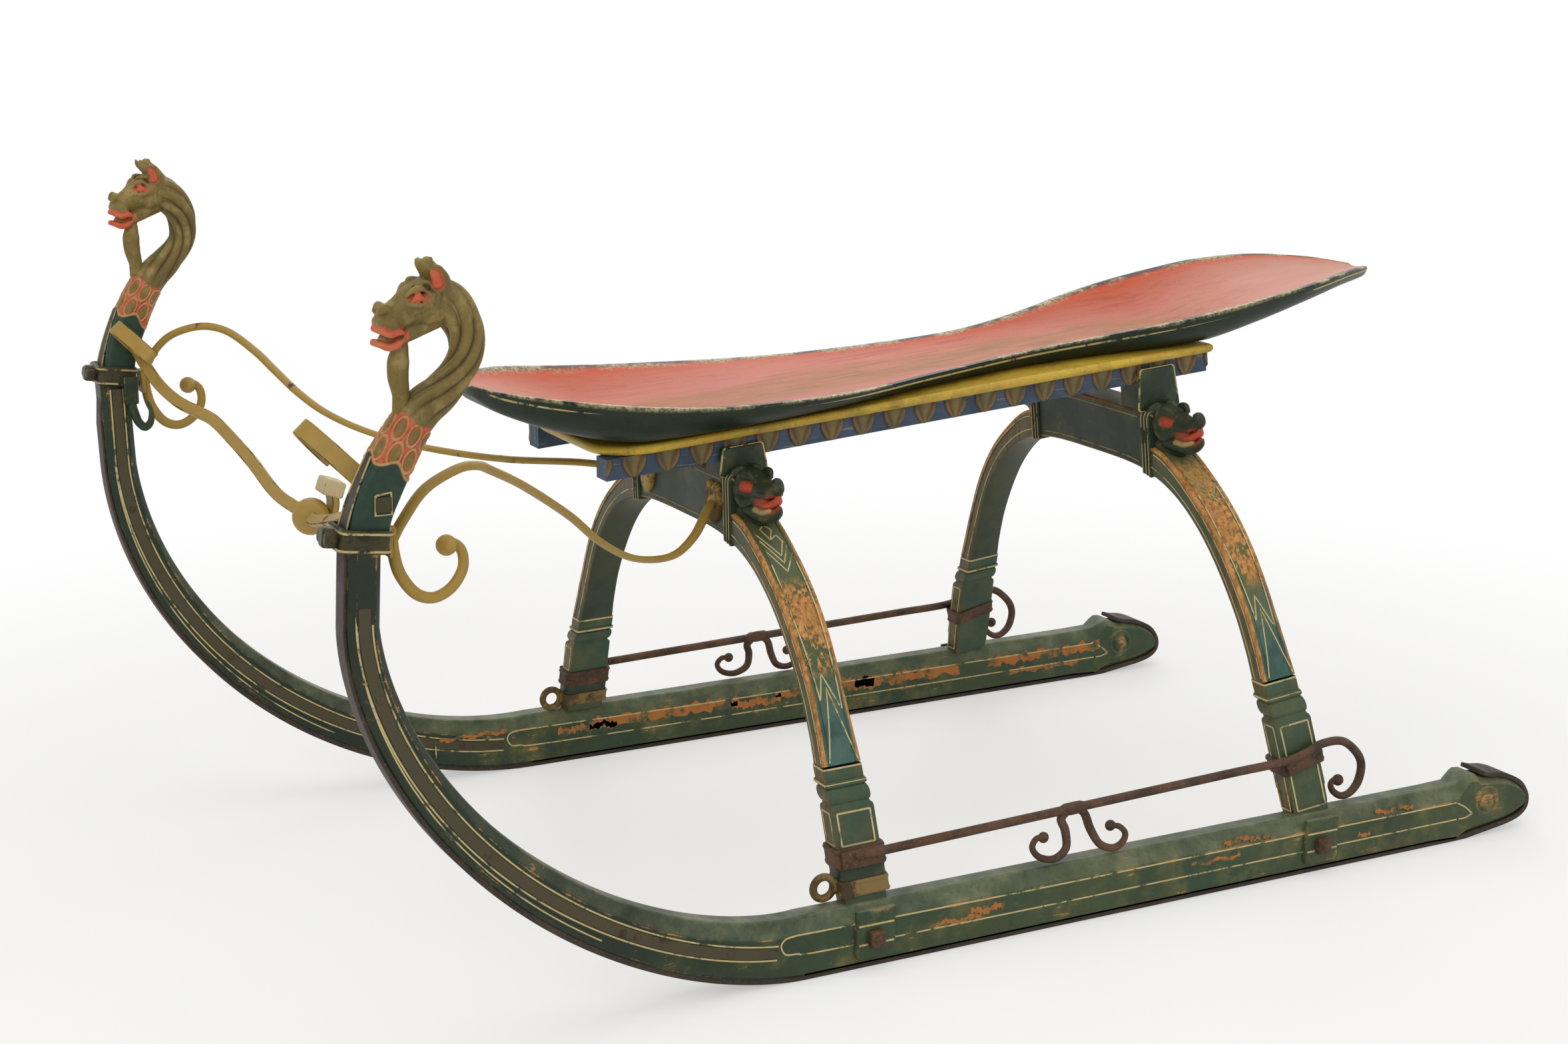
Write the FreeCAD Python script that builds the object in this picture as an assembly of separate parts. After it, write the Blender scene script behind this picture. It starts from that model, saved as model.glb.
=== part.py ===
"""Old straddle sleigh: two runners that rise into carved horse necks, two arched
stands, a boat-shaped seat on rails, iron stays, foot rods and a tie between the necks.

Frame: forward is -Y, the sleigh's left is +X, up is +Z, and the floor is Z = 0.
Millimetres. Stations run along Y from the sleigh's foremost bolt to the runner tails.
"""
import FreeCAD, Part
import math
import os

V = FreeCAD.Vector

# Driving sizes of the whole sleigh
overall_length = 1750.0
track = 862.0             # between the centre planes of the two runners

# Runners
runner_wide = 50.0
runner_high = 70.0        # wood at the flat of the runner
shoe_thick = 8.0          # iron under the sole and up the front of the curve
shoe_wide = 44.0
front_overhang = 22.0     # bolt of the neck clamp ahead of the runner's front
curve_rise = 460.0        # height at which the front of the runner turns vertical
curve_run = 626.0         # length of the front curve along the floor
curve_exponent_share = 1.78
curve_steps = 16          # sections round the front curve
curve_nudge_share = 0.002
tail_end_station = 1724.0
tail_rise = 24.0          # lift of the sole at the runner's tail
tail_run = 124.0          # length of that lift
tail_shares = ((0.0, 1.0), (0.2, 1.10), (0.5, 1.02), (0.8, 0.80), (1.0, 0.42))
volute_round = 46.0       # round boss on the rolled tail
volute_proud = 3.0
volute_back = 83.0        # its centre ahead of the tail's end
volute_z = 50.0
strap_wide = 20.0         # face irons let on to the curved part
strap_thick = 3.0
strap_short_steps = 1     # the face irons stop this many sections above the floor
strap_lean = 27.0         # the shoe's upper end leans back with the neck
strap_top_rise = 88.0     # its tip above the neck foot
strap_tip_wide = 16.0

# Carved horse necks
neck_foot_z = 604.0       # joint of the runner's upper end and the carved neck
neck_deep = 54.0          # fore and aft, at the clamp, shoe strap included
neck_thick = 46.0         # across, at the clamp
neck_splay = 86.0         # how much further out the neck foot stands than the runner
head_out = 33.0           # the head stands this much further out than the neck foot
horse_high = 294.0        # from the neck foot to the ear tips
neck_ring_shares = ((0.105, 0.0, 0.43, 0.50), (0.145, 0.122, 0.44, 0.50), (0.194, 0.276, 0.45, 0.52),
                    (0.259, 0.408, 0.44, 0.50), (0.340, 0.520, 0.43, 0.48), (0.422, 0.633, 0.41, 0.46),
                    (0.449, 0.748, 0.39, 0.43), (0.412, 0.854, 0.38, 0.41), (0.327, 0.912, 0.37, 0.39))
head_ring_shares = ((0.347, 0.898, 0.35, 0.37), (0.279, 0.864, 0.39, 0.43), (0.211, 0.820, 0.33, 0.37),
                    (0.156, 0.776, 0.26, 0.28), (0.133, 0.755, 0.17, 0.20))
beard_shares = ((0.184, 0.707), (0.177, 0.633), (0.211, 0.565), (0.279, 0.503))
beard_round = 17.0
ear_round = 18.0
ear_tip_round = 5.0
ear_high = 26.0
ear_apart = 11.0
ear_back = 86.0           # the ears' foot behind the runner's front
ear_lean_share = 0.25
ring_points = 16

# Clamp round the neck's foot, its bolted ear, and the trace hook behind it
clamp_high = 34.0
clamp_thick = 6.0
clamp_gap = 0.3
clamp_ear_wide = 12.0
clamp_bolt_long = 44.0
bolt_round = 14.0
hook_round = 12.0
hook_size = 42.0
hook_turn = 32.0          # degrees from straight inward to the way that the hook points
hook_ahead = 12.0         # its middle ahead of the neck's rear face
hook_shares = ((0.0, 0.20), (0.0, -0.40), (0.14, -0.95), (0.28, -1.28), (0.55, -1.38), (0.84, -1.15),
               (0.86, -0.76), (0.70, -0.48))

# Arched stands, one at the front and one at the rear
stand_front_station = 685.0
stand_rear_station = 1355.0
stand_front_angle = 1.2    # degrees that a stand leans forward
stand_rear_angle = 5.5
plank_wide = 50.0         # along the sleigh
plank_thick = 28.0        # across the bend
post_inset = 27.0         # inner side of a post's foot inside the runner's centre plane
arch_exponent_share = 3.7
arch_steps = 40
front_arch_top = 465.0    # underside of the front arch above the floor
rear_arch_top = 492.0
beam_above = 48.0         # top of the crossbeam above the bent plank
foot_block_high = 112.0
foot_block_thick = 30.0   # across the sleigh
foot_block_wide = 60.0    # along the sleigh
foot_block_out = 6.0      # its middle stands further out than the plank's
collar_count = 2          # rings above the block
collar_high = 19.0
collar_gap = 9.0
collar_proud = 2.5
beast_long = 92.0
beast_high = 92.0
beast_wide = 56.0
beast_shares = ((0.0, 0.80), (0.35, 1.0), (0.70, 0.92), (1.0, 0.55))
beast_drop_share = 0.22

# Seat, its moulded base, rails and saddle blocks
seat_front_station = 360.0  # the seat's rear tip is the rear end of the whole sleigh
seat_half = 172.0         # half width at its widest
seat_depth = 46.0
seat_wall = 14.0
seat_row_shares = ((0.0, 0.17, 1.81, 1.51), (0.018, 0.48, 1.71, 1.06), (0.065, 0.81, 1.48, 0.48),
                   (0.130, 0.96, 1.12, 0.0), (0.209, 1.0, 0.80, 0.0), (0.331, 0.87, 0.51, 0.0),
                   (0.432, 0.69, 0.47, 0.0), (0.540, 0.57, 0.52, 0.0), (0.620, 0.65, 0.66, 0.0),
                   (0.692, 0.81, 0.85, 0.0), (0.742, 0.87, 1.0, 0.0), (0.800, 0.88, 1.16, 0.29),
                   (0.865, 0.83, 1.31, 0.65), (0.922, 0.65, 1.33, 0.81), (0.973, 0.38, 1.16, 0.77),
                   (1.0, 0.15, 0.97, 0.71))
seat_lip = 6.0
seat_tip_share = 0.7
seat_wall_share = 0.7
seat_floor_share = 0.8
seat_dip_least = 3.0
seat_arc_steps = 8
seat_base_front = 492.0   # stations of the base
seat_base_rear = 1392.0
seat_base_half = 132.0
seat_base_thick = 12.0
seat_base_front_z = 574.0
seat_base_rear_z = 638.0
seat_base_corner = 70.0
rail_high = 27.0
rail_thick = 30.0
rail_inset = 8.0
saddle_long = 60.0
saddle_extra = 10.0
saddle_clear = 16.0       # from the saddle's outer side to the beast head

# Foot rods with their bands, rear scroll and double hook
rod_round = 12.0
rod_front_z = 135.0
rod_rear_z = 152.0
rod_band_high = 34.0
rod_band_thick = 6.0
rod_seat = 1.5            # the rod is welded this far into its bands
rod_lead = 20.0
rod_tail = 10.0
scroll_size = 90.0
scroll_shares = ((0.35, 0.16), (0.84, -0.05), (0.84, -0.50), (0.50, -0.74), (0.28, -0.55),
                 (0.40, -0.42))
j_hook_station = 987.0
j_hook_size = 62.0
j_hook_round = 11.0
j_hook_shares = ((0.28, 0.0), (0.30, -0.62), (0.66, -0.95), (1.12, -0.72), (0.84, -0.44))

# Plates on the runners at the posts' feet, and the banded eye in front
tab_wide = 44.0
tab_thick = 6.0
tab_drop = 46.0           # centre of the nut below the runner's top
nut_wide = 24.0
nut_thick = 10.0
eye_band_high = 22.0
eye_band_thick = 5.0
eye_band_lift = 10.0      # above the runner's top
eye_round = 38.0
eye_bore = 18.0
eye_thick = 10.0

# Painted stays between necks and front stand, with the scroll below
stay_round = 14.0
stay_inset = 12.0
stay_end_x = 100.0
stay_end_drop = 42.0      # below the beam's top
stay_plate_wide = 44.0
stay_plate_high = 52.0
stay_swing = 66.0
stay_shares = ((0.0, 0.0, 0.0), (0.037, 0.071, 0.73), (0.074, 0.166, 1.0), (0.185, 0.241, 0.77),
               (0.306, 0.305, 0.41), (0.467, 0.477, -0.50), (0.558, 0.579, -1.36),
               (0.669, 0.698, -2.02), (0.783, 0.821, -2.20), (0.869, 0.916, -1.98),
               (0.933, 0.975, -1.60), (1.0, 1.0, -1.40))
neck_scroll_size = 80.0
neck_scroll_shares = ((0.12, 0.0), (0.14, -0.50), (0.50, -0.92), (1.05, -0.72), (1.08, -0.25),
                      (0.82, -0.20))
ball_round = 22.0

# Tie between the necks, with the pole socket at its middle
tie_round = 17.0
tie_bolt_rise = 46.0
tie_bolt_back = 53.0      # behind the runner's front
tie_back = 92.0
tie_drop = 138.0
tie_shares = ((1.0, 0.0, 0.0), (0.90, 0.02, 0.05), (0.74, 0.20, 0.34), (0.55, 0.48, 0.58),
              (0.34, 0.78, 0.78), (0.16, 0.94, 0.98), (0.0, 1.0, 1.0))
tie_scroll_shares = ((1.0, 0.0, 0.0), (0.93, -0.10, -0.28), (0.86, -0.20, -0.46), (0.80, -0.10, -0.34))
tie_knob = 46.0
socket_wide = 34.0
socket_high = 52.0

overrun = 1.0             # cutters reach this far past what they cut
bend_reach_share = 0.45   # how much of a straight run each arc of a bent bar may use

# Values worked out from the driving sizes
half_length = overall_length / 2
seat_length = overall_length - seat_front_station
runner_x = track / 2
foot_z = runner_high + shoe_thick
arch_half = runner_x - post_inset
saddle_outer = seat_base_half - rail_inset + saddle_extra
beam_half = saddle_outer + saddle_clear
stands = {"front": (stand_front_station, front_arch_top, stand_front_angle),
          "rear": (stand_rear_station, rear_arch_top, stand_rear_angle)}

X_DIR = V(1, 0, 0)
Y_DIR = V(0, 1, 0)
Z_DIR = V(0, 0, 1)
parts_dir = "parts"
os.makedirs(parts_dir, exist_ok=True)


def along(station):
    """Y of a station counted from the foremost bolt."""
    return station - half_length


def save(name, *shapes):
    """Write one node; several shapes become one compound."""
    solids = [s for shape in shapes for s in shape.Solids]
    whole = solids[0] if len(solids) == 1 else Part.makeCompound(solids)
    whole.exportStep(os.path.join(parts_dir, name + ".step"))
    print(name, len(solids), round(whole.Volume / 1000, 1), whole.isValid())


def mirrored(shape):
    """The same piece on the sleigh's other side."""
    return shape.mirror(V(0, 0, 0), V(1, 0, 0))


def save_pair(name, *shapes):
    """Left piece as built, right piece as its mirror image."""
    save(name + "_left", *shapes)
    save(name + "_right", *[mirrored(s) for s in shapes])


def fuse(shapes):
    """Join shapes that touch into one solid."""
    whole = shapes[0].fuse(shapes[1:]) if len(shapes) > 1 else shapes[0]
    return whole.removeSplitter()


def block(x_low, x_high, y_low, y_high, z_low, z_high):
    """A box between two corners."""
    return Part.makeBox(x_high - x_low, y_high - y_low, z_high - z_low, V(x_low, y_low, z_low))


def rod(start, end, radius):
    """A round bar between two points."""
    run = end - start
    return Part.makeCylinder(radius, run.Length, start, run)


def rect_wire(centre, across, along_dir, wide, high):
    """A rectangle about a point, spanned by two unit directions."""
    a = across * (wide / 2)
    b = along_dir * (high / 2)
    return Part.makePolygon([centre - a - b, centre + a - b, centre + a + b, centre - a + b,
                             centre - a - b])


def ellipse_wire(centre, across, upward, half_across, half_up):
    """A closed smooth ring about a point, spanned by two unit directions."""
    points = []
    for i in range(ring_points):
        turn = 2 * math.pi * i / ring_points
        points.append(centre + across * (half_across * math.cos(turn))
                      + upward * (half_up * math.sin(turn)))
    curve = Part.BSplineCurve()
    curve.interpolate(Points=points, PeriodicFlag=True)
    return Part.Wire([curve.toShape()])


def spline_edge(points):
    """One smooth edge through the points."""
    curve = Part.BSplineCurve()
    curve.interpolate(Points=points)
    return curve.toShape()


def bent_bar(points, radius):
    """A round bar along a smooth path: straight runs joined by tangent arcs."""
    edges = []
    here = points[0]
    for i in range(1, len(points) - 1):
        before = points[i] - points[i - 1]
        after = points[i + 1] - points[i]
        turn = before.getAngle(after)
        reach = bend_reach_share * min(before.Length, after.Length)
        before.normalize()
        after.normalize()
        first = points[i] - before * reach
        last = points[i] + after * reach
        bend = reach / math.tan(turn / 2)
        inward = (after - before).normalize()
        centre = points[i] + inward * math.hypot(bend, reach)
        middle = centre - inward * bend
        edges.append(Part.LineSegment(here, first).toShape())
        edges.append(Part.Arc(first, middle, last).toShape())
        here = last
    edges.append(Part.LineSegment(here, points[-1]).toShape())
    ring = Part.Wire([Part.Circle(points[0], points[1] - points[0], radius).toShape()])
    return Part.Wire(edges).makePipeShell([ring], True, False)


# Runners with their irons

def splay_at(z):
    """How far out of the track's plane the runner stands at a height."""
    low = foot_z / 2
    return neck_splay * max(0.0, z - low) / (neck_foot_z - low)


def curve_frame(share):
    """Outer point of the front curve: share 0 at its top, 1 on the floor."""
    power = 2 / curve_exponent_share
    turn = share * math.pi / 2
    y = along(front_overhang + curve_run * (1 - math.cos(turn) ** power))
    z = curve_rise * (1 - math.sin(turn) ** power)
    return y, z


def runner_stations():
    """Stations down the neck foot, round the curve, along the flat and up the tail."""
    rows = [(along(front_overhang), neck_foot_z, V(0, 1, 0), neck_deep, neck_thick)]
    for i in range(curve_steps + 1):
        share = i / curve_steps
        y, z = curve_frame(share)
        y_a, z_a = curve_frame(max(0.0, share - curve_nudge_share))
        y_b, z_b = curve_frame(min(1.0, share + curve_nudge_share))
        run = V(0, y_b - y_a, z_b - z_a).normalize()
        inward = V(0, -run.z, run.y)
        deep = neck_deep + (foot_z - neck_deep) * share
        wide = neck_thick + (runner_wide - neck_thick) * share
        rows.append((y, z, inward, deep, wide))
    tail_start = tail_end_station - shoe_thick - tail_run
    for run_share, high_share in tail_shares:
        z = tail_rise * run_share ** 2
        lean = V(0, -2 * tail_rise * run_share * (1 - run_share) / tail_run, 1).normalize()
        rows.append((along(tail_start + tail_run * run_share), z, lean, foot_z * high_share,
                     runner_wide))
    return rows


def runner_layer(rows, from_outer, to_outer, wide_share):
    """The loft between two depths measured from the outer curve."""
    wires = []
    for y, z, inward, deep, wide in rows:
        low = from_outer(deep)
        high = to_outer(deep)
        middle = V(0, y, z) + inward * ((low + high) / 2)
        middle.x = runner_x + splay_at((V(0, y, z) + inward * (deep / 2)).z)
        wires.append(rect_wire(middle, X_DIR, inward, wide * wide_share, high - low))
    return Part.makeLoft(wires, True, True)


def make_runner():
    """Wood of one runner, from the neck's foot to the rolled tail."""
    rows = runner_stations()
    wood = runner_layer(rows, lambda deep: shoe_thick, lambda deep: deep, 1)
    half = runner_wide / 2 + volute_proud
    middle = V(runner_x - half, along(tail_end_station - volute_back), volute_z)
    boss = Part.makeCylinder(volute_round / 2, 2 * half, middle, X_DIR)
    return fuse([wood, boss])


def make_shoe():
    """Iron under the sole and up the front; it also covers the tail's end."""
    rows = runner_stations()
    strip = runner_layer(rows, lambda deep: 0, lambda deep: shoe_thick, shoe_wide / runner_wide)
    y, z, lean, deep, wide = rows[-1]
    cap = block(runner_x - shoe_wide / 2, runner_x + shoe_wide / 2, y - shoe_thick,
                along(tail_end_station), z, z + deep)
    front = along(front_overhang) + shoe_thick / 2
    top = Part.makeLoft([
        rect_wire(V(runner_x + neck_splay, front, neck_foot_z),
                  X_DIR, Y_DIR, neck_thick * shoe_wide / runner_wide, shoe_thick),
        rect_wire(V(runner_x + neck_splay, front + strap_lean, neck_foot_z + strap_top_rise),
                  X_DIR, Y_DIR, strap_tip_wide, shoe_thick)], True, True)
    return fuse([strip, cap.cut(make_runner()), top])


def make_straps():
    """Flat irons let on to both faces of the curved part."""
    rows = runner_stations()[:curve_steps - strap_short_steps]
    rows[0] = (rows[0][0], neck_foot_z - clamp_high / 2 - clamp_gap) + rows[0][2:]
    irons = []
    for side in (-1, 1):
        wires = []
        for y, z, inward, deep, wide in rows:
            middle = V(0, y, z) + inward * (shoe_thick + (deep - shoe_thick) / 2)
            middle.x = runner_x + splay_at((V(0, y, z) + inward * (deep / 2)).z)
            middle.x += side * (wide + strap_thick) / 2
            wires.append(rect_wire(middle, X_DIR, inward, strap_thick, strap_wide))
        irons.append(Part.makeLoft(wires, True, True).cut(make_runner()))
    return irons


# Carved necks and the irons at their foot

def neck_x(z):
    """The carved neck goes on leaning outward above the clamp."""
    top = neck_foot_z + neck_ring_shares[-1][1] * horse_high
    return runner_x + neck_splay + head_out * (z - neck_foot_z) / (top - neck_foot_z)


def horse_point(back_share, up_share):
    """A point of the horse in its own leaning plane, from shares of its height."""
    z = neck_foot_z + up_share * horse_high
    return V(neck_x(z), along(front_overhang + back_share * horse_high), z)


def ring_loft(rings):
    """A smooth body through rings square to their line in the Y-Z plane."""
    points = [horse_point(back, up) for back, up, deep, thick in rings]
    wires = []
    for i, (back, up, deep, thick) in enumerate(rings):
        ahead = points[min(i + 1, len(rings) - 1)]
        behind = points[max(i - 1, 0)]
        run = V(0, ahead.y - behind.y, ahead.z - behind.z).normalize()
        across = Y_DIR if up == 0 else V(0, run.z, -run.y)
        wires.append(ellipse_wire(points[i], across, X_DIR, deep * neck_deep, thick * neck_thick))
    return Part.makeLoft(wires, True, False)


def make_horse():
    """Carved neck and head with its ears and the strut that ties the chin to the neck."""
    pieces = [ring_loft(neck_ring_shares), ring_loft(head_ring_shares)]
    pieces.append(bent_bar([horse_point(back, up) for back, up in beard_shares], beard_round / 2))
    ear_z = neck_foot_z + horse_high - ear_high
    for side in (-1, 1):
        foot = V(neck_x(ear_z) + side * ear_apart, along(front_overhang + ear_back), ear_z)
        pieces.append(Part.makeCone(ear_round / 2, ear_tip_round / 2, ear_high, foot,
                                    V(side * ear_lean_share, 0, 1)))
    return fuse(pieces).cut(make_shoe())


def make_clamp():
    """Square band round the joint of runner and neck, with its bolted ear."""
    x = runner_x + neck_splay
    front = along(front_overhang)
    half = neck_thick / 2 + clamp_gap
    z_low = neck_foot_z - clamp_high / 2
    z_high = neck_foot_z + clamp_high / 2
    outer = block(x - half - clamp_thick, x + half + clamp_thick,
                  front - clamp_gap - clamp_thick, front + neck_deep + clamp_gap + clamp_thick,
                  z_low, z_high)
    inner = block(x - half, x + half, front - clamp_gap, front + neck_deep + clamp_gap,
                  z_low - overrun, z_high + overrun)
    ear = block(x - clamp_ear_wide / 2, x + clamp_ear_wide / 2,
                front - front_overhang, front - clamp_gap - clamp_thick / 2, z_low, z_high)
    bolt_y = front - front_overhang + bolt_round / 2
    bolt = rod(V(x - clamp_bolt_long / 2, bolt_y, neck_foot_z),
               V(x + clamp_bolt_long / 2, bolt_y, neck_foot_z), bolt_round / 2)
    return fuse([outer.cut(inner), ear, bolt]).cut([make_runner(), make_horse(), make_shoe()])


def make_trace_hook():
    """Hook that hangs from the clamp's inner face and turns up, inward and back."""
    start = V(runner_x + neck_splay - neck_thick / 2 - clamp_gap - clamp_thick - hook_round / 2,
              along(front_overhang) + neck_deep - hook_ahead, neck_foot_z)
    turn = math.radians(hook_turn)
    out = V(-math.cos(turn), math.sin(turn), 0) * hook_size
    route = [start + out * a + V(0, 0, hook_size * b) for a, b in hook_shares]
    return bent_bar(route, hook_round / 2)


# Arched stands

def arch_curve(top, offset):
    """An arch's contour from foot to foot: its drop below the top is a power of X."""
    points = []
    for i in range(arch_steps + 1):
        share = 2 * i / arch_steps - 1
        x = math.copysign(math.sqrt(abs(share)), share) * arch_half
        drop = (top - foot_z) * abs(x / arch_half) ** arch_exponent_share
        slope = arch_exponent_share * drop / max(abs(x), overrun)
        sink = 1 / math.hypot(slope, 1)
        points.append(V(x + math.copysign(offset * slope * sink, x), 0, top - drop + offset * sink))
    return points


def lean_stand(shape, station, lean):
    """Tip a stand's piece forward about the line of its feet."""
    turned = shape.copy()
    turned.rotate(V(0, along(station), foot_z), X_DIR, lean)
    return turned


def make_arch(top):
    """The bent plank of one stand, foot to foot, standing on the runners."""
    inner = spline_edge(arch_curve(top, 0))
    outer = spline_edge(arch_curve(top, plank_thick))
    ends = [Part.LineSegment(inner.Vertexes[i].Point, outer.Vertexes[i].Point).toShape()
            for i in (0, -1)]
    wire = Part.Wire(Part.__sortEdges__([inner, outer] + ends))
    return Part.Face(wire).extrude(V(0, plank_wide, 0))


def plank_x(z, name):
    """Middle of the left leg's plank at a height above the floor."""
    station, top, lean = stands[name]
    share = (top - z) / (top - foot_z)
    return arch_half * share ** (1 / arch_exponent_share) + plank_thick / 2


def foot_x(z, name):
    """Middle of the left foot block, which leans straight in as the plank does there."""
    low, high = plank_x(foot_z, name), plank_x(foot_z + foot_block_high, name)
    return low + (high - low) * (z - foot_z) / foot_block_high + foot_block_out


def post_block(z_low, z_high, name, middle_x, thick, wide):
    """A leaning block of the left post between two heights."""
    y = along(stands[name][0])
    wires = [rect_wire(V(middle_x(z, name), y, z), X_DIR, Y_DIR, thick, wide)
             for z in (z_low, z_high)]
    return Part.makeLoft(wires, True, True)


def make_foot_block(name):
    """The block that a stand's left post stands on."""
    return post_block(foot_z, foot_z + foot_block_high, name, foot_x, foot_block_thick,
                      foot_block_wide)


def make_post(name, plank):
    """Left post: the plank beside the beam, two collar rings and the foot block."""
    station = stands[name][0]
    x_far = 2 * track
    beside = block(beam_half, x_far, along(station - plank_wide), along(station + plank_wide),
                   0, x_far)
    pieces = [plank.common(beside), make_foot_block(name)]
    z = foot_z + foot_block_high
    for i in range(collar_count):
        pieces.append(post_block(z + collar_gap / 2, z + collar_gap / 2 + collar_high, name, plank_x,
                                 plank_thick + 2 * collar_proud, plank_wide + 2 * collar_proud))
        z += collar_gap + collar_high
    return fuse(pieces)


def make_beam(station, plank, top):
    """Crossbeam: the plank's crown with a bar on it, between the beast heads."""
    y_low = along(station - plank_wide / 2)
    middle = block(-beam_half, beam_half, y_low, y_low + plank_wide, 0, top + track)
    bar = block(-beam_half, beam_half, y_low, y_low + plank_wide, top + plank_thick / 2,
                top + plank_thick + beam_above)
    return fuse([plank.common(middle), bar])


def make_beast_head(station, plank, top):
    """Blunt head on the beam's end that looks outward over the post."""
    wires = []
    mid_z = top + plank_thick + beam_above - beast_high * beast_drop_share
    for run_share, size_share in beast_shares:
        middle = V(beam_half + beast_long * run_share, along(station), mid_z)
        wires.append(rect_wire(middle, Y_DIR, Z_DIR, beast_wide * size_share,
                               beast_high * size_share))
    return Part.makeLoft(wires, True, True).cut(plank)


def make_saddle(station, top):
    """Left block between the crossbeam and the rail, before its top is sloped."""
    beam_top = top + plank_thick + beam_above
    y_low = along(station - saddle_long / 2)
    x_low = saddle_outer - rail_thick - 2 * saddle_extra
    return block(x_low, saddle_outer, y_low, y_low + saddle_long, beam_top, beam_top + track)


def save_stand(name):
    """Write one stand's beam, posts, beast heads, saddles and foot plates."""
    station, top, lean = stands[name]
    plank = make_arch(top)
    plank.translate(V(0, along(station - plank_wide / 2), 0))
    above = sloped_block(-track, track, 0, overall_length, rail_high, track)
    saddle = lean_stand(make_saddle(station, top), station, lean).cut(above)
    post = lean_stand(make_post(name, plank), station, lean)
    save_pair("foot_tab_" + name, make_foot_tab(station).cut(post))
    save("crossbeam_" + name, lean_stand(make_beam(station, plank, top), station, lean))
    save_pair("post_" + name, post.cut(make_runner()))
    save_pair("beast_head_" + name, lean_stand(make_beast_head(station, plank, top), station, lean))
    save("rail_saddles_" + name, saddle, mirrored(saddle))


# Seat, base and rails

def base_under(station):
    """Height of the seat base's underside at a station."""
    share = (station - seat_base_front) / (seat_base_rear - seat_base_front)
    return seat_base_front_z + (seat_base_rear_z - seat_base_front_z) * share


def base_slope():
    """Tilt of the seat base, in degrees."""
    return math.degrees(math.atan2(seat_base_rear_z - seat_base_front_z,
                                   seat_base_rear - seat_base_front))


def sloped_block(x_low, x_high, s_low, s_high, down, up):
    """A block on the seat base's slope, from depth down to height up about its underside."""
    length = (s_high - s_low) / math.cos(math.radians(base_slope()))
    shape = block(x_low, x_high, 0, length, -down, up)
    shape.rotate(V(0, 0, 0), X_DIR, base_slope())
    shape.translate(V(0, along(s_low), base_under(s_low)))
    return shape


def make_seat_base():
    """Board under the seat with a rounded front."""
    board = sloped_block(-seat_base_half, seat_base_half, seat_base_front, seat_base_rear, 0,
                         seat_base_thick)
    corners = [e for e in board.Edges if e.Length < seat_base_thick + overrun
               and e.CenterOfMass.y < along(seat_base_front) + seat_base_half]
    return board.makeFillet(seat_base_corner, corners)


def make_seat():
    """Boat-shaped seat: a flat-bottomed hull with a shallow dish."""
    lift = seat_base_thick / math.cos(math.radians(base_slope()))
    wires = []
    for run_share, wide_share, rim_share, under_share in seat_row_shares:
        station = seat_front_station + run_share * seat_length
        wide = wide_share * seat_half
        base = base_under(station) + lift
        rim = base + rim_share * seat_depth
        z_low = base + under_share * seat_depth
        low_half = wide * seat_tip_share if under_share else seat_base_half - seat_lip
        inner = wide - seat_wall * seat_wall_share
        dip = max(rim - z_low - seat_wall * seat_floor_share, seat_dip_least)
        points = [V(-wide, 0, rim), V(-low_half, 0, z_low), V(low_half, 0, z_low), V(wide, 0, rim)]
        for i in range(seat_arc_steps + 1):
            turn = math.pi * i / seat_arc_steps
            points.append(V(inner * math.cos(turn), 0, rim - dip * math.sin(turn)))
        points.append(points[0])
        wire = Part.makePolygon(points)
        wire.translate(V(0, along(station), 0))
        wires.append(wire)
    return Part.makeLoft(wires, True, True)


def make_rail():
    """Left rail under the seat board."""
    return sloped_block(seat_base_half - rail_inset - rail_thick, seat_base_half - rail_inset,
                        seat_base_front, seat_base_rear, rail_high, 0)


# Irons at the foot

def post_band(name, z, high, thick):
    """Flat band round a post's foot block, open on the inner side."""
    station, top, lean = stands[name]
    outer = post_block(z - high / 2, z + high / 2, name, foot_x, foot_block_thick + 2 * thick,
                       foot_block_wide + 2 * thick)
    inner = post_block(z - high / 2 - overrun, z + high / 2 + overrun, name, foot_x,
                       foot_block_thick, foot_block_wide)
    open_side = block(0, foot_x(z, name) - foot_block_thick / 2 + thick, along(0),
                      along(overall_length), 0, track)
    return lean_stand(outer.cut([inner, open_side]), station, lean)


def rod_z(station):
    """Height of the foot rod's centre line."""
    share = (station - stand_front_station) / (stand_rear_station - stand_front_station)
    return rod_front_z + (rod_rear_z - rod_front_z) * share


def rod_x(station):
    """The rod lies against the bands of both foot blocks."""
    share = (station - stand_front_station) / (stand_rear_station - stand_front_station)
    front, rear = foot_x(rod_front_z, "front"), foot_x(rod_rear_z, "rear")
    middle = front + (rear - front) * share
    return middle + foot_block_thick / 2 + rod_band_thick + rod_round / 2 - rod_seat


def make_foot_rod():
    """Foot rod with the bands that hold it to both posts, rear scroll and double hook."""
    pieces = [post_band("front", rod_front_z, rod_band_high, rod_band_thick),
              post_band("rear", rod_rear_z, rod_band_high, rod_band_thick)]
    lead = stand_front_station - rod_lead
    tail = stand_rear_station + rod_tail
    route = [V(rod_x(lead), along(lead), rod_z(lead)), V(rod_x(tail), along(tail), rod_z(tail))]
    for run_share, rise_share in scroll_shares:
        route.append(V(rod_x(tail), along(tail + scroll_size * run_share),
                       rod_z(tail) + scroll_size * rise_share))
    pieces.append(bent_bar(route, rod_round / 2))
    for side in (-1, 1):
        route = []
        for run_share, rise_share in j_hook_shares:
            s = j_hook_station + side * j_hook_size * run_share
            route.append(V(rod_x(s), along(s), rod_z(s) + j_hook_size * rise_share))
        pieces.append(bent_bar(route, j_hook_round / 2))
    return fuse(pieces)


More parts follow.
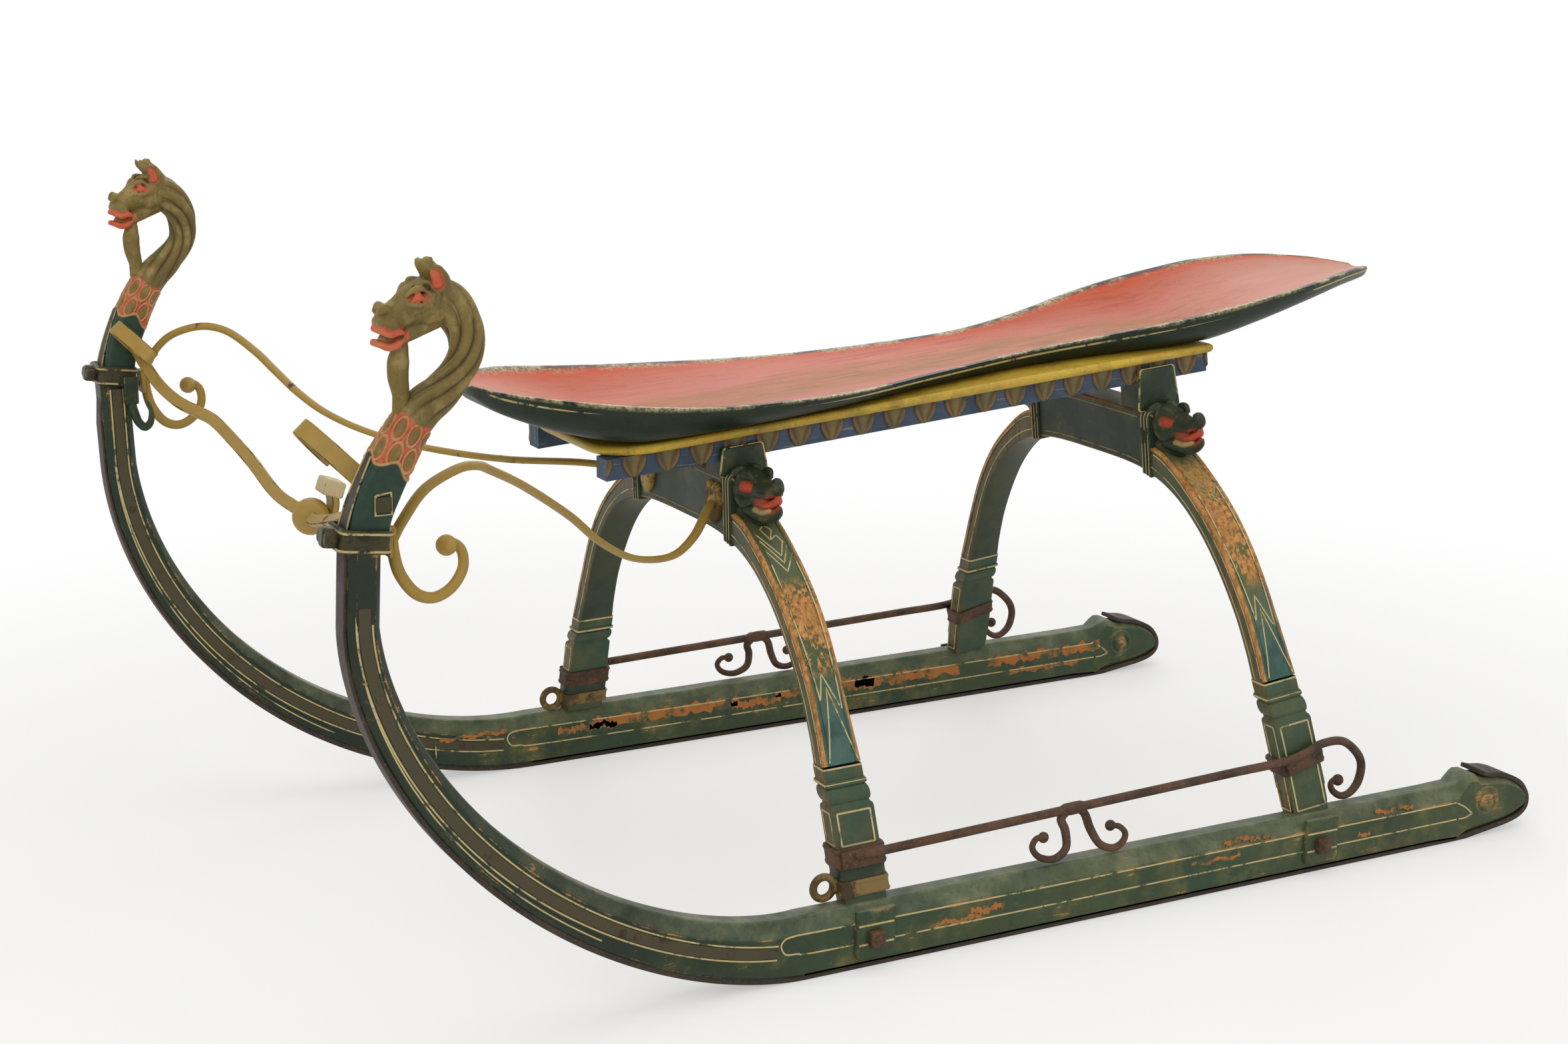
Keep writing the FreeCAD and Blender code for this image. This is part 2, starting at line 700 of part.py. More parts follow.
def make_foot_tab(station):
    """Plate on the runner's outer face that ties a post's foot, with its bolt and nut."""
    x = runner_x + runner_wide / 2
    y = along(station)
    z = foot_z - tab_drop
    plate = block(x, x + tab_thick, y - tab_wide / 2, y + tab_wide / 2, z - nut_wide / 2, foot_z)
    nut = block(x + tab_thick, x + tab_thick + nut_thick, y - nut_wide / 2, y + nut_wide / 2,
                z - nut_wide / 2, z + nut_wide / 2)
    return fuse([plate, nut]).cut(make_runner())


def make_foot_eye():
    """Band round the front post's foot with an eye in front."""
    z = foot_z + eye_band_lift + eye_band_high / 2
    band = post_band("front", z, eye_band_high, eye_band_thick)
    middle = V(foot_x(z, "front") - eye_thick / 2,
               along(stand_front_station) - foot_block_wide / 2 - eye_round / 2, z)
    ring = Part.makeCylinder(eye_round / 2, eye_thick, middle, X_DIR)
    hole = Part.makeCylinder(eye_bore / 2, eye_thick + 2 * overrun, middle - X_DIR * overrun, X_DIR)
    foot = lean_stand(make_foot_block("front"), stand_front_station, stand_front_angle)
    return fuse([band, ring]).cut([hole, foot, make_foot_rod()])


# Painted irons between necks and front stand

def make_stay(beam):
    """Long S-shaped stay from the neck's clamp to the crossbeam, with the scroll below."""
    y0 = along(front_overhang) + neck_deep + clamp_gap + clamp_thick
    x0 = runner_x + neck_splay - stay_inset
    end_z = front_arch_top + plank_thick + beam_above - stay_end_drop
    lean = (end_z - foot_z) * math.tan(math.radians(stand_front_angle))
    end_y = along(stand_front_station) - plank_wide / 2 - stay_round / 2 - lean
    route = []
    for across_share, back_share, rise_share in stay_shares:
        route.append(V(x0 + (stay_end_x - x0) * across_share,
                       y0 + stay_round / 2 + (end_y - y0 - stay_round / 2) * back_share,
                       neck_foot_z + stay_swing * rise_share))
    route[-1].z = end_z
    bar = bent_bar(route, stay_round / 2)
    plate = block(stay_end_x - stay_plate_wide / 2, stay_end_x + stay_plate_wide / 2, end_y,
                  end_y + stay_round, end_z - stay_plate_high / 2, end_z + stay_plate_high / 2)
    foot = block(x0 - stay_round, x0 + stay_round, y0, y0 + clamp_thick,
                 neck_foot_z - clamp_high / 2, neck_foot_z + clamp_high / 2)
    scroll_route = [V(x0, y0 + neck_scroll_size * a, neck_foot_z + neck_scroll_size * b)
                    for a, b in neck_scroll_shares]
    scroll = bent_bar(scroll_route, stay_round / 2)
    ball = Part.makeSphere(ball_round / 2, scroll_route[-1])
    return fuse([bar, plate, foot, scroll, ball]).cut(beam)


def make_tie():
    """Tie between the two necks, low in the middle, with the pole socket on it."""
    z_bolt = neck_foot_z + tie_bolt_rise
    x_end = neck_x(z_bolt) - neck_thick / 2
    y_bolt = along(front_overhang + tie_bolt_back)

    def tie_point(side, shares):
        across, back, drop = shares
        return V(side * x_end * across, y_bolt + tie_back * back, z_bolt - tie_drop * drop)

    half_route = [tie_point(1, shares) for shares in tie_shares]
    whole = half_route + [tie_point(-1, shares) for shares in reversed(tie_shares[:-1])]
    pieces = [bent_bar(whole, tie_round / 2)]
    for side in (1, -1):
        route = [tie_point(side, shares) for shares in tie_scroll_shares]
        pieces.append(bent_bar(route, tie_round / 2))
    middle = half_route[-1]
    pieces.append(Part.makeSphere(tie_knob / 2, middle))
    pieces.append(block(-socket_wide / 2, socket_wide / 2, middle.y - socket_wide / 2,
                        middle.y + socket_wide / 2, middle.z, middle.z + socket_high))
    horse = make_horse()
    return fuse(pieces).cut([horse, mirrored(horse)])


# Write every node
save_pair("runner", make_runner())
save_pair("runner_shoe", make_shoe())
save_pair("runner_strap", *make_straps())
save_pair("horse_neck", make_horse())
save_pair("neck_clamp", make_clamp())
save_pair("trace_hook", make_trace_hook())
for stand_name in stands:
    save_stand(stand_name)
save_pair("seat_rail", make_rail())
save("seat_base", make_seat_base())
save("seat_shell", make_seat())
save_pair("foot_rod", make_foot_rod())
save_pair("foot_eye", make_foot_eye())
front_plank = make_arch(front_arch_top)
front_plank.translate(V(0, along(stand_front_station - plank_wide / 2), 0))
front_beam = lean_stand(make_beam(stand_front_station, front_plank, front_arch_top),
                        stand_front_station, stand_front_angle)
save_pair("neck_stay", make_stay(front_beam))
save("cross_tie", make_tie())
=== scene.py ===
# %% [markdown]
# This lesson dresses an old straddle sleigh: painted wood, carved horse heads and forged iron.
# Every new piece is worked out in the same metres and the same axes, so nothing has to be
# fitted by eye: forward is -Y, left is +X, up is +Z.

# %% Load the frame
import bpy
import numpy as np
from mathutils import Matrix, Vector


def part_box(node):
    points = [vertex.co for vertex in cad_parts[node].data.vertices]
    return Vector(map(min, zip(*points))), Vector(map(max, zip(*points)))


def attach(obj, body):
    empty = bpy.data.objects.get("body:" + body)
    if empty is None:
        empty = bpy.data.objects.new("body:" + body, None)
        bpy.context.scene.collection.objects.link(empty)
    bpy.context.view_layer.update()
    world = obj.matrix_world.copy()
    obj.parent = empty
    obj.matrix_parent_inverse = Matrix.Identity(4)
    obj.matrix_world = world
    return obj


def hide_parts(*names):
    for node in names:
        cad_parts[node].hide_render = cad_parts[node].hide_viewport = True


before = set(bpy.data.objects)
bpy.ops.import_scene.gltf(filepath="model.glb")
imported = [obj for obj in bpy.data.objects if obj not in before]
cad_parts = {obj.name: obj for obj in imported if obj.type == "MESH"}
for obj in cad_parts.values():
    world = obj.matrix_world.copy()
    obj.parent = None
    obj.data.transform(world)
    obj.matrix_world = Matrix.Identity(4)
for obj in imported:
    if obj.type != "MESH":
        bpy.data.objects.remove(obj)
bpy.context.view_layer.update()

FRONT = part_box("neck_clamp_left")[0][1]


def at(station):
    """Y in metres of a station in millimetres counted from the foremost bolt."""
    return FRONT + station / 1000


# %% [markdown]
# The camera comes first, because every other choice is judged through it. Its direction and
# lens were solved from points on both runners. It could be aimed with a Track To constraint,
# but a matrix built from two angles says it exactly.

# %% Camera
CAMERA_PLACE = (2.9189, -1.6044, 1.2331)
CAMERA_TURN, CAMERA_DOWN, CAMERA_ROLL = np.radians([62.317, 13.602, 0.106])
CAMERA_LENS, CAMERA_SENSOR = 58.6, 36.0


def put_in(name, data):
    """A new object in the scene that holds a mesh, lamp or camera."""
    obj = bpy.data.objects.new(name, data)
    bpy.context.scene.collection.objects.link(obj)
    return obj


cam = put_in("camera", bpy.data.cameras.new("camera"))
cam.data.lens, cam.data.sensor_width = CAMERA_LENS, CAMERA_SENSOR
sin_t, cos_t = np.sin(CAMERA_TURN), np.cos(CAMERA_TURN)
sin_d, cos_d = np.sin(CAMERA_DOWN), np.cos(CAMERA_DOWN)
back = np.array([sin_t * cos_d, -cos_t * cos_d, sin_d])
right = np.array([cos_t, sin_t, 0.0])
up = np.cross(back, right)
right, up = (right * np.cos(CAMERA_ROLL) + up * np.sin(CAMERA_ROLL),
             up * np.cos(CAMERA_ROLL) - right * np.sin(CAMERA_ROLL))
turn = Matrix(np.column_stack([right, up, back]).tolist()).to_4x4()
cam.matrix_world = Matrix.Translation(CAMERA_PLACE) @ turn
bpy.context.scene.camera = cam
print("camera back vector", back.round(3))

# %% [markdown]
# Background, floor and materials are small node networks. Typing every node out is long, so
# one helper adds a node, sets or links its sockets and hands back an output. An output can be
# added and multiplied like a number, so a recipe for paint reads like a sum.

# %% Node helpers
class Flow:
    """A number or colour on its way between two nodes. The signs + - * | add Math nodes, where
    a | b is the larger; flow(low, high) is 0 at low, 1 at high and rises evenly between."""
    tree = None

    def __init__(self, socket):
        self.socket = socket

    def __call__(self, low, high):
        return add("MapRange", {0: self, 1: low, 2: high})

    def between(self, low, high):
        """Low where the flow is 0, high where it is 1."""
        return add("MapRange", {0: self, 3: low, 4: high})

    def __abs__(self):
        return add("Math", {0: self, 1: 0.0}, operation="ABSOLUTE")

    def __add__(self, other):
        return add("Math", {0: self, 1: other}, operation="ADD")

    def __sub__(self, other):
        return add("Math", {0: self, 1: other}, operation="SUBTRACT")

    def __mul__(self, other):
        return add("Math", {0: self, 1: other}, operation="MULTIPLY")

    def __or__(self, other):
        return add("Math", {0: self, 1: other}, operation="MAXIMUM")


def add(kind, sockets=(), out=0, **settings):
    """Add a node, give each named socket a value or a link, and return one output."""
    node = Flow.tree.nodes.new("ShaderNode" + kind)
    for key, value in settings.items():
        setattr(node, key, value)
    fill(node, dict(sockets))
    return Flow(node.outputs[out])


def fill(node, sockets):
    """Set or link the sockets of a node."""
    for key, value in sockets.items():
        if isinstance(value, Flow):
            Flow.tree.links.new(value.socket, node.inputs[key])
        else:
            node.inputs[key].default_value = value


def begin(owner):
    """Start the node tree of a material or world; new nodes go into it."""
    owner.use_nodes = True
    Flow.tree = owner.node_tree
    return owner.node_tree.nodes


def here():
    """The place of a surface point, in metres."""
    return add("TexCoord", out="Object")


# %% [markdown]
# The photograph is a studio shot on white: a pale floor with a soft shadow, and a background
# that is simply white. The white comes from Light Path, which gives camera and mirror rays
# a plain white, so no extra light falls on the sleigh.

# %% Backdrop, floor and lamps
WHITE = (1.0, 1.0, 1.0, 1.0)
SKY, SKY_STRENGTH = (1.0, 0.985, 0.95, 1.0), 0.50
FLOOR_GREY, FLOOR_GLOW = (0.97, 0.97, 0.95, 1.0), 0.45
FLOOR_REACH, FADE_FROM, FADE_TO = 9.0, 1.0, 2.2
LAMPS = {"top_lamp": ((0.2, 0.1, 3.4), 0.3, 3.2, 36.0, (1.0, 1.0, 1.0)),
         "key_lamp": ((2.6, -3.0, 2.6), 0.4, 1.8, 40.0, (1.0, 0.98, 0.95)),
         "fill_lamp": ((3.2, 2.2, 1.6), 0.4, 2.4, 17.0, (1.0, 0.99, 0.97)),
         "rim_lamp": ((-2.8, 1.6, 2.4), 0.4, 2.0, 15.0, (1.0, 1.0, 1.0))}


def seen_ray():
    """One for rays that end in the picture: camera, glossy or transmitted."""
    camera, glossy, through = [add("LightPath", out="Is %s Ray" % kind)
                               for kind in ("Camera", "Glossy", "Transmission")]
    return camera | glossy | through


world = bpy.data.worlds.new("studio")
bpy.context.scene.world = world
nodes = begin(world)
fill(nodes["Background"], {"Color": SKY, "Strength": SKY_STRENGTH})
backdrop = add("MixShader", {0: seen_ray(), 1: Flow(nodes["Background"].outputs[0]),
                             2: add("Background", {"Color": WHITE})})
fill(nodes["World Output"], {"Surface": backdrop})

floor_mat = bpy.data.materials.new("pale_floor")
nodes = begin(floor_mat)
paper = nodes["Principled BSDF"]
fill(paper, {"Base Color": FLOOR_GREY, "Roughness": 0.6, "Specular IOR Level": 0.2})
reach = add("VectorMath", {0: here()}, out="Value", operation="LENGTH")
fade = add("MapRange", {"Value": reach, "From Min": FADE_FROM, "From Max": FADE_TO,
                        "To Min": FLOOR_GLOW}, interpolation_type="SMOOTHSTEP")
blend = add("MixShader", {0: fade * seen_ray(), 1: Flow(paper.outputs[0]),
                          2: add("Emission", {"Color": WHITE})})
fill(nodes["Material Output"], {"Surface": blend})

floor_mesh = bpy.data.meshes.new("floor")
corners = FLOOR_REACH * np.array([[-1, -1, 0], [1, -1, 0], [1, 1, 0], [-1, 1, 0]], float)
floor_mesh.from_pydata(corners.tolist(), [], [(0, 1, 2, 3)])
floor_mesh.materials.append(floor_mat)
put_in("floor", floor_mesh)

for name, (place, aim_z, size, watts, tint) in LAMPS.items():
    data = bpy.data.lights.new(name, "AREA")
    data.shape, data.size, data.energy, data.color = "SQUARE", size, watts, tint
    move = Matrix.Translation(place)
    aim = move.to_translation() - Matrix.Translation((0.0, 0.0, aim_z)).to_translation()
    put_in(name, data).matrix_world = move @ aim.to_track_quat("Z", "Y").to_matrix().to_4x4()
print("stage ready")

# %% [markdown]
# A surface here is a stack of closed rings: an array of points with one row per ring. Two
# neighbouring rings make a band of quads, and a fan closes each end. Blender could loft
# with curves and bevel objects, but arrays keep every size in plain sight and every mesh closed.

# %% Rings into shells
def skin(rings, wear=0.0, ends=True):
    """Shell over rings (n, m, 3), closed at its ends unless its last ring is its first. Its UV
    holds metres along and metres around."""
    rings = np.asarray(rings, float)
    n, m = rings.shape[:2]
    i, j = [grid.ravel() for grid in np.meshgrid(np.arange(n - 1), np.arange(m), indexing="ij")]
    near_one, beside = i * m + j, i * m + (j + 1) % m
    quads = np.stack([near_one, beside, beside + m, near_one + m], 1)
    length = np.linalg.norm(np.diff(rings, axis=0), axis=2).mean(1)
    girth = np.linalg.norm(np.roll(rings, -1, 1) - rings, axis=2).mean(0)
    u = np.concatenate([[0], np.cumsum(length)])
    v = np.concatenate([[0], np.cumsum(girth)])
    quad_uv = np.stack([np.stack([u[a], v[b]], 1) for a, b in
                        ((i, j), (i, j + 1), (i + 1, j + 1), (i + 1, j))], 1)
    verts = [rings.reshape(-1, 3)]
    tris, tri_uv = [np.zeros((0, 3), int)], [np.zeros((0, 3, 2))]
    k = np.arange(m)
    for row, order in ((0, -1), (n - 1, 1)):
        if ends:
            centre = n * m + len(verts) - 1
            verts.append(rings[row].mean(0)[None])
            fan = np.stack([np.full(m, centre), row * m + k, row * m + (k + 1) % m], 1)[:, ::order]
            tris.append(fan)
            spot = np.stack([np.full(m, u[row]), v[:-1]], 1)
            tri_uv.append(np.stack([spot, spot, spot + girth.mean()], 1))
    verts = np.concatenate(verts)
    worn = np.zeros(len(verts))
    worn[:n * m] = np.broadcast_to(wear, (n, m)).ravel()
    return dict(verts=verts, quads=quads, quad_uv=quad_uv, tris=np.concatenate(tris),
                tri_uv=np.concatenate(tri_uv), wear=worn)


def tagged(shell, **fields):
    """A shell with more numbers on its ring points; the points at its two ends get 0."""
    for key, values in fields.items():
        values = np.ravel(values)
        shell[key] = np.append(values, np.zeros(len(shell["verts"]) - len(values)))
    return shell


def outward(shell):
    """Turn a shell whose enclosed volume comes out negative."""
    v, q, t = shell["verts"], shell["quads"], shell["tris"]
    fans = np.concatenate([q[:, [0, 1, 2]], q[:, [0, 2, 3]], t])
    a, b, c = v[fans[:, 0]], v[fans[:, 1]], v[fans[:, 2]]
    if np.einsum("ij,ij->i", a, np.cross(b, c)).sum() >= 0:
        return shell
    return dict(shell, quads=q[:, ::-1], quad_uv=shell["quad_uv"][:, ::-1], tris=t[:, ::-1],
                tri_uv=shell["tri_uv"][:, ::-1])


def merged(shells):
    """Points, quads and triangles of several shells in one numbering."""
    shift = np.concatenate([[0], np.cumsum([len(s["verts"]) for s in shells])])
    quads, tris = [np.concatenate([s[key] + k for s, k in zip(shells, shift)])
                   for key in ("quads", "tris")]
    return np.concatenate([s["verts"] for s in shells]), quads, tris


# %% [markdown]
# One function turns shells into an object: arrays go straight into the mesh, a sharp edge is
# any fold over about 40 degrees, and the piece is told what it stands for and rides on.

# %% Shells into pieces
SHARP_FOLD = np.radians(42)
PLAIN_KEYS = {"verts", "quads", "tris", "quad_uv", "tri_uv"}
ADDED = False
made = []


def piece(name, shells, material, slot="green_wood", solid=True):
    """Join shells into one object that rides on the body. A solid piece takes the place of the
    node of its own name; an added one stands for no node."""
    shells = [outward(s) for s in shells]
    verts, quads, tris = merged(shells)
    mesh = bpy.data.meshes.new(name)
    loops = np.concatenate([quads.ravel(), tris.ravel()])
    mesh.vertices.add(len(verts))
    mesh.vertices.foreach_set("co", verts.ravel())
    mesh.loops.add(len(loops))
    mesh.loops.foreach_set("vertex_index", loops)
    mesh.polygons.add(len(quads) + len(tris))
    starts = np.concatenate([np.arange(len(quads)) * 4, len(quads) * 4 + np.arange(len(tris)) * 3])
    mesh.polygons.foreach_set("loop_start", starts)
    mesh.update(calc_edges=True)
    mesh.validate()
    uv = np.concatenate([s[key].reshape(-1, 2) for key in ("quad_uv", "tri_uv") for s in shells])
    mesh.uv_layers.new(name="surface").data.foreach_set("uv", uv.ravel())
    for key in sorted(set().union(*shells) - PLAIN_KEYS):
        values = np.concatenate([s.get(key, np.zeros(len(s["verts"]))) for s in shells])
        mesh.attributes.new(key, "FLOAT", "POINT").data.foreach_set("value", values)
    mesh.polygons.foreach_set("use_smooth", np.ones(len(mesh.polygons), bool))
    mesh.set_sharp_from_angle(angle=SHARP_FOLD)
    mesh.materials.append(material)
    obj = put_in(name, mesh)
    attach(obj, "root")
    if solid:
        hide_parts(name)
    made.append(len(quads) * 2 + len(tris))


def put(name, hand, shells, *rest):
    """A piece on one side: as built for the left, mirrored for the right."""
    if hand == "right":
        shells = [dict(s, verts=s["verts"] * (-1, 1, 1)) for s in shells]
    piece(name + "_" + hand, shells, *rest)


def pair(name, shells, *rest):
    """The piece as built on the left, and its mirror image on the right."""
    for hand in ("left", "right"):
        put(name, hand, shells, *rest)


# %% [markdown]
# Outlines and paths. A carved or forged edge is never knife sharp, so every outline corner
# is a small curve, and it also says how much that spot gets rubbed. A profile carried along
# a path needs a direction across it, which for a flat curve is simply the plane's normal.

# %% Outlines, paths and bars
X, Y, Z = np.eye(3)
SIDES = (1, -1)
HOLD = 0.0008


def xyz(x, y, z):
    """Points from three rows of coordinates, or single numbers that all points share."""
    return np.stack(np.broadcast_arrays(x, y, z), -1)


def rising(value, start, span):
    """0 up to the start, 1 from one span further on, even between."""
    return np.clip((value - start) / span, 0, 1)


def circle(count):
    """Even angles round a circle, the last one short of the first."""
    return np.linspace(0, 2 * np.pi, count, endpoint=False)


def unit(vectors):
    """Vectors scaled to length one."""
    vectors = np.asarray(vectors, float)
    return vectors / np.linalg.norm(vectors, axis=-1, keepdims=True)


def outline(corners, radius, steps=4):
    """Outline with soft corners, each the curve (1-t)^2 A + 2t(1-t) C + t^2 B about corner C,
    where A and B lie one radius back along both sides. A point a hair further back holds each
    flat side. Also gives the rub: 4t(1-t)."""
    corners = np.asarray(corners, float)
    before, after = unit(np.roll(corners, 1, 0) - corners), unit(np.roll(corners, -1, 0) - corners)
    radius = np.broadcast_to(radius, len(corners))[:, None]
    a, b = corners + before * radius, corners + after * radius
    t = np.linspace(0, 1, steps)[None, :, None]
    arc = (1 - t) ** 2 * a[:, None] + 2 * t * (1 - t) * corners[:, None] + t ** 2 * b[:, None]
    points = np.concatenate([(a + before * HOLD)[:, None], arc, (b + after * HOLD)[:, None]], 1)
    rub = np.concatenate([[0], (4 * t * (1 - t)).ravel(), [0]])
    return points.reshape(-1, 2), np.tile(rub, len(corners))


def rectangle(half_x, half_y, radius, steps=4):
    """Soft-cornered rectangle about the origin."""
    return outline([(-half_x, -half_y), (half_x, -half_y), (half_x, half_y), (-half_x, half_y)],
                   radius, steps)


def smooth(points, steps=10):
    """Curve through all points: between two of them a cubic whose end slopes are half the
    step between the neighbours on both sides (Catmull-Rom)."""
    p = np.asarray(points, float)
    p = np.vstack([2 * p[0] - p[1], p, 2 * p[-1] - p[-2]])
    t = np.linspace(0, 1, steps, endpoint=False)[None, :, None]
    a, b, c, d = p[:-3, None], p[1:-2, None], p[2:-1, None], p[3:, None]
    curve = 0.5 * (2 * b + (c - a) * t + (2 * a - 5 * b + 4 * c - d) * t ** 2
                   + (3 * b - a - 3 * c + d) * t ** 3)
    return np.vstack([curve.reshape(-1, p.shape[1]), p[-2:-1]])


def spread(values, count):
    """Values given at even steps, drawn out to a longer row."""
    values = np.atleast_1d(np.asarray(values, float))
    return np.interp(np.linspace(0, 1, count), np.linspace(0, 1, len(values)), values)


def tangents(path):
    """Direction of travel at each point of a path."""
    return unit(np.gradient(path, axis=0))


def carry(profile, path, side, lift):
    """Rings: each path point plus profile x along side and profile y along lift."""
    profile = np.asarray(profile)
    return path[:, None] + profile[..., :1] * side[:, None] + profile[..., 1:] * lift[:, None]


def tube(path, radius, normal, sides=14, flat=1.0, blunt=4):
    """Forged bar: a circle of the given radius about each point, spanned by normal and
    tangent x normal, flattened along the normal. Its ends are domes: radius * cos, reach * sin."""
    path = np.asarray(path, float)
    radius, flat = spread(radius, len(path)), spread(flat, len(path))
    run = tangents(path)
    phi = np.linspace(0, np.pi / 2, blunt, endpoint=False)[1:]
    reach = np.sin(phi)[:, None]
    head, tail = path[0] - run[0] * radius[0] * reach, path[-1] + run[-1] * radius[-1] * reach
    lead = (len(phi), len(phi))
    path = np.concatenate([head[::-1], path, tail])
    radius = np.concatenate([(radius[0] * np.cos(phi))[::-1], radius, radius[-1] * np.cos(phi)])
    flat = np.pad(flat, lead, "edge")
    run = np.pad(run, (lead, (0, 0)), "edge")
    side = unit(np.cross(run, normal))
    turn = circle(sides)
    ring = radius[:, None, None] * xyz(np.cos(turn), flat[:, None] * np.sin(turn), 0)[..., :2]
    return skin(carry(ring, path, side, np.cross(side, run)))


def bar(path, normal, wide, thick, radius=0.0012, wear=0.4):
    """Flat forged bar: a rectangle, wide along the normal and thick across it. Each corner is
    a soft curve of fixed size that is moved to plus or minus half the width and thickness."""
    path = np.asarray(path, float)
    run = tangents(path)
    side = unit(np.cross(run, normal))
    half = np.stack([spread(thick, len(path)), spread(wide, len(path))], 1) / 2
    soft, rub = rectangle(1, 1, radius)
    corner = np.sign(soft)
    profile = corner * half[:, None] + (soft - corner)
    return skin(carry(profile, path, side, np.cross(side, run)), rub * wear)


def block(centre, size, soft, axes=np.eye(3)):
    """Block with soft edges all round: near both ends its outline draws in by
    soft * (1 - cos) while the height grows by soft * sin."""
    phi = np.linspace(0, np.pi / 2, 4)
    half = np.asarray(size, float) / 2
    draw = soft * (1 - np.cos(phi))
    levels = xyz(half[2] - soft + soft * np.sin(phi), half[0] - draw, half[1] - draw)
    rings, rubs = [], []
    for z, half_x, half_y in np.concatenate([levels[::-1] * (-1, 1, 1), levels]):
        ring, rub = rectangle(half_x, half_y, min(soft, half_x / 2, half_y / 2))
        rings.append(xyz(*ring.T, z))
        rubs.append(rub)
    return skin(rings @ np.asarray(axes, float) + np.asarray(centre, float), np.array(rubs) * 0.5)


def painted(points, normals, width=0.0024, lift=0.0003, sink=0.0004):
    """Brushed line: a thin strip on a surface, its four corners at half the width to both
    sides and a hair above and below the surface."""
    points = np.asarray(points, float)
    normals = np.broadcast_to(normals, points.shape)
    side = unit(np.cross(tangents(points), normals)) * (spread(width, len(points)) / 2)[:, None]
    above, below = points + normals * lift, points - normals * sink
    return skin(np.stack([above - side, above + side, below + side, below - side], 1))


def dome(centre, axis, radius, height):
    """Rivet or bolt head: rings of radius * cos and height * sin along an axis."""
    side = unit(np.cross(axis, X if abs(axis[0]) < 0.8 else Y))
    phi = np.linspace(0, np.pi / 2, 6)[:-1]
    reach = np.concatenate([[-0.3 * height], height * np.sin(phi)])
    wide = radius * np.concatenate([[1.0], np.cos(phi)])
    turn = circle(16)
    return skin(np.asarray(centre, float) + reach[:, None, None] * axis + wide[:, None, None]
                * (np.cos(turn)[:, None] * side + np.sin(turn)[:, None] * np.cross(axis, side)), 0.6)


print("helpers ready")

# %% [markdown]
# Every paint starts from noise in Object coordinates, so it needs no picture and runs on
# across a piece without a seam. Mixing colours with masks then lays tone over tone, and the
# same masks say where the surface is rough or raised.

# %% Patterns, masks and mixtures
FIELD_OUT, FACING_OUT, POINTED_OUT, COLOUR_OUT = 2, 1, 7, 2


def colour(r, g, b):
    """Screen colour 0 to 255 to the linear light a shader works in."""
    c = np.array([r, g, b]) / 255
    linear = np.where(c <= 0.04045, c / 12.92, ((c + 0.055) / 1.055) ** 2.4)
    return (*linear.tolist(), 1.0)


def noise(scale, stretch=(1, 1, 1), detail=4.0, rough=0.6):
    """Cloudy 0 to 1 pattern; a stretch below one draws it out along that axis."""
    place = add("Mapping", {"Vector": here(), "Scale": stretch})
    return add("TexNoise", {"Vector": place, "Scale": scale, "Detail": detail,
                            "Roughness": rough})


def mixed(share, *tones):
    """The first tone where share is 0 and the second where it is 1; a tone is a link or three
    numbers from 0 to 255."""
    a, b = [tone if isinstance(tone, Flow) else colour(*tone) for tone in tones]
    return add("Mix", {0: share, 6: a, 7: b}, out=COLOUR_OUT, data_type="RGBA")


def split(vector, axis):
    """One coordinate of a vector: 0 across the sleigh, 1 along it, 2 up."""
    return add("SeparateXYZ", {"Vector": vector}, out=axis)


def field(name):
    """A number stored on each point of the mesh."""
    return add("Attribute", out=FIELD_OUT, attribute_name=name)


def hollows(low=0.40, high=0.50):
    """1 in grooves and inner corners, 0 on ridges."""
    return add("MapRange", {0: add("NewGeometry", out=POINTED_OUT), 1: low, 2: high, 3: 1.0, 4: 0.0})


def finish(name, paint, depth=0.0006):
    """Material from a function that gives its colour, roughness and height; depth is how many
    metres a height of one raises the bump."""
    mat = bpy.data.materials.new(name)
    shader = begin(mat)["Principled BSDF"]
    tint, rough, height = paint()
    relief = add("Bump", {"Strength": 0.8, "Distance": depth, "Height": height})
    fill(shader, {"Base Color": tint, "Roughness": rough, "Specular IOR Level": 0.25,
                  "Normal": relief})
    return mat


# %% [markdown]
# Long use shows in the paint: two or three faded tones lie over each other, edges are rubbed
# to bare wood with its grain, small chips are scattered about, and dirt lies in clouds.
# Runners, beams and the moulding share this recipe, with other colours and another grain.

# %% Old paint on wood
BARE_WOOD = ((120, 84, 44), (190, 142, 88))


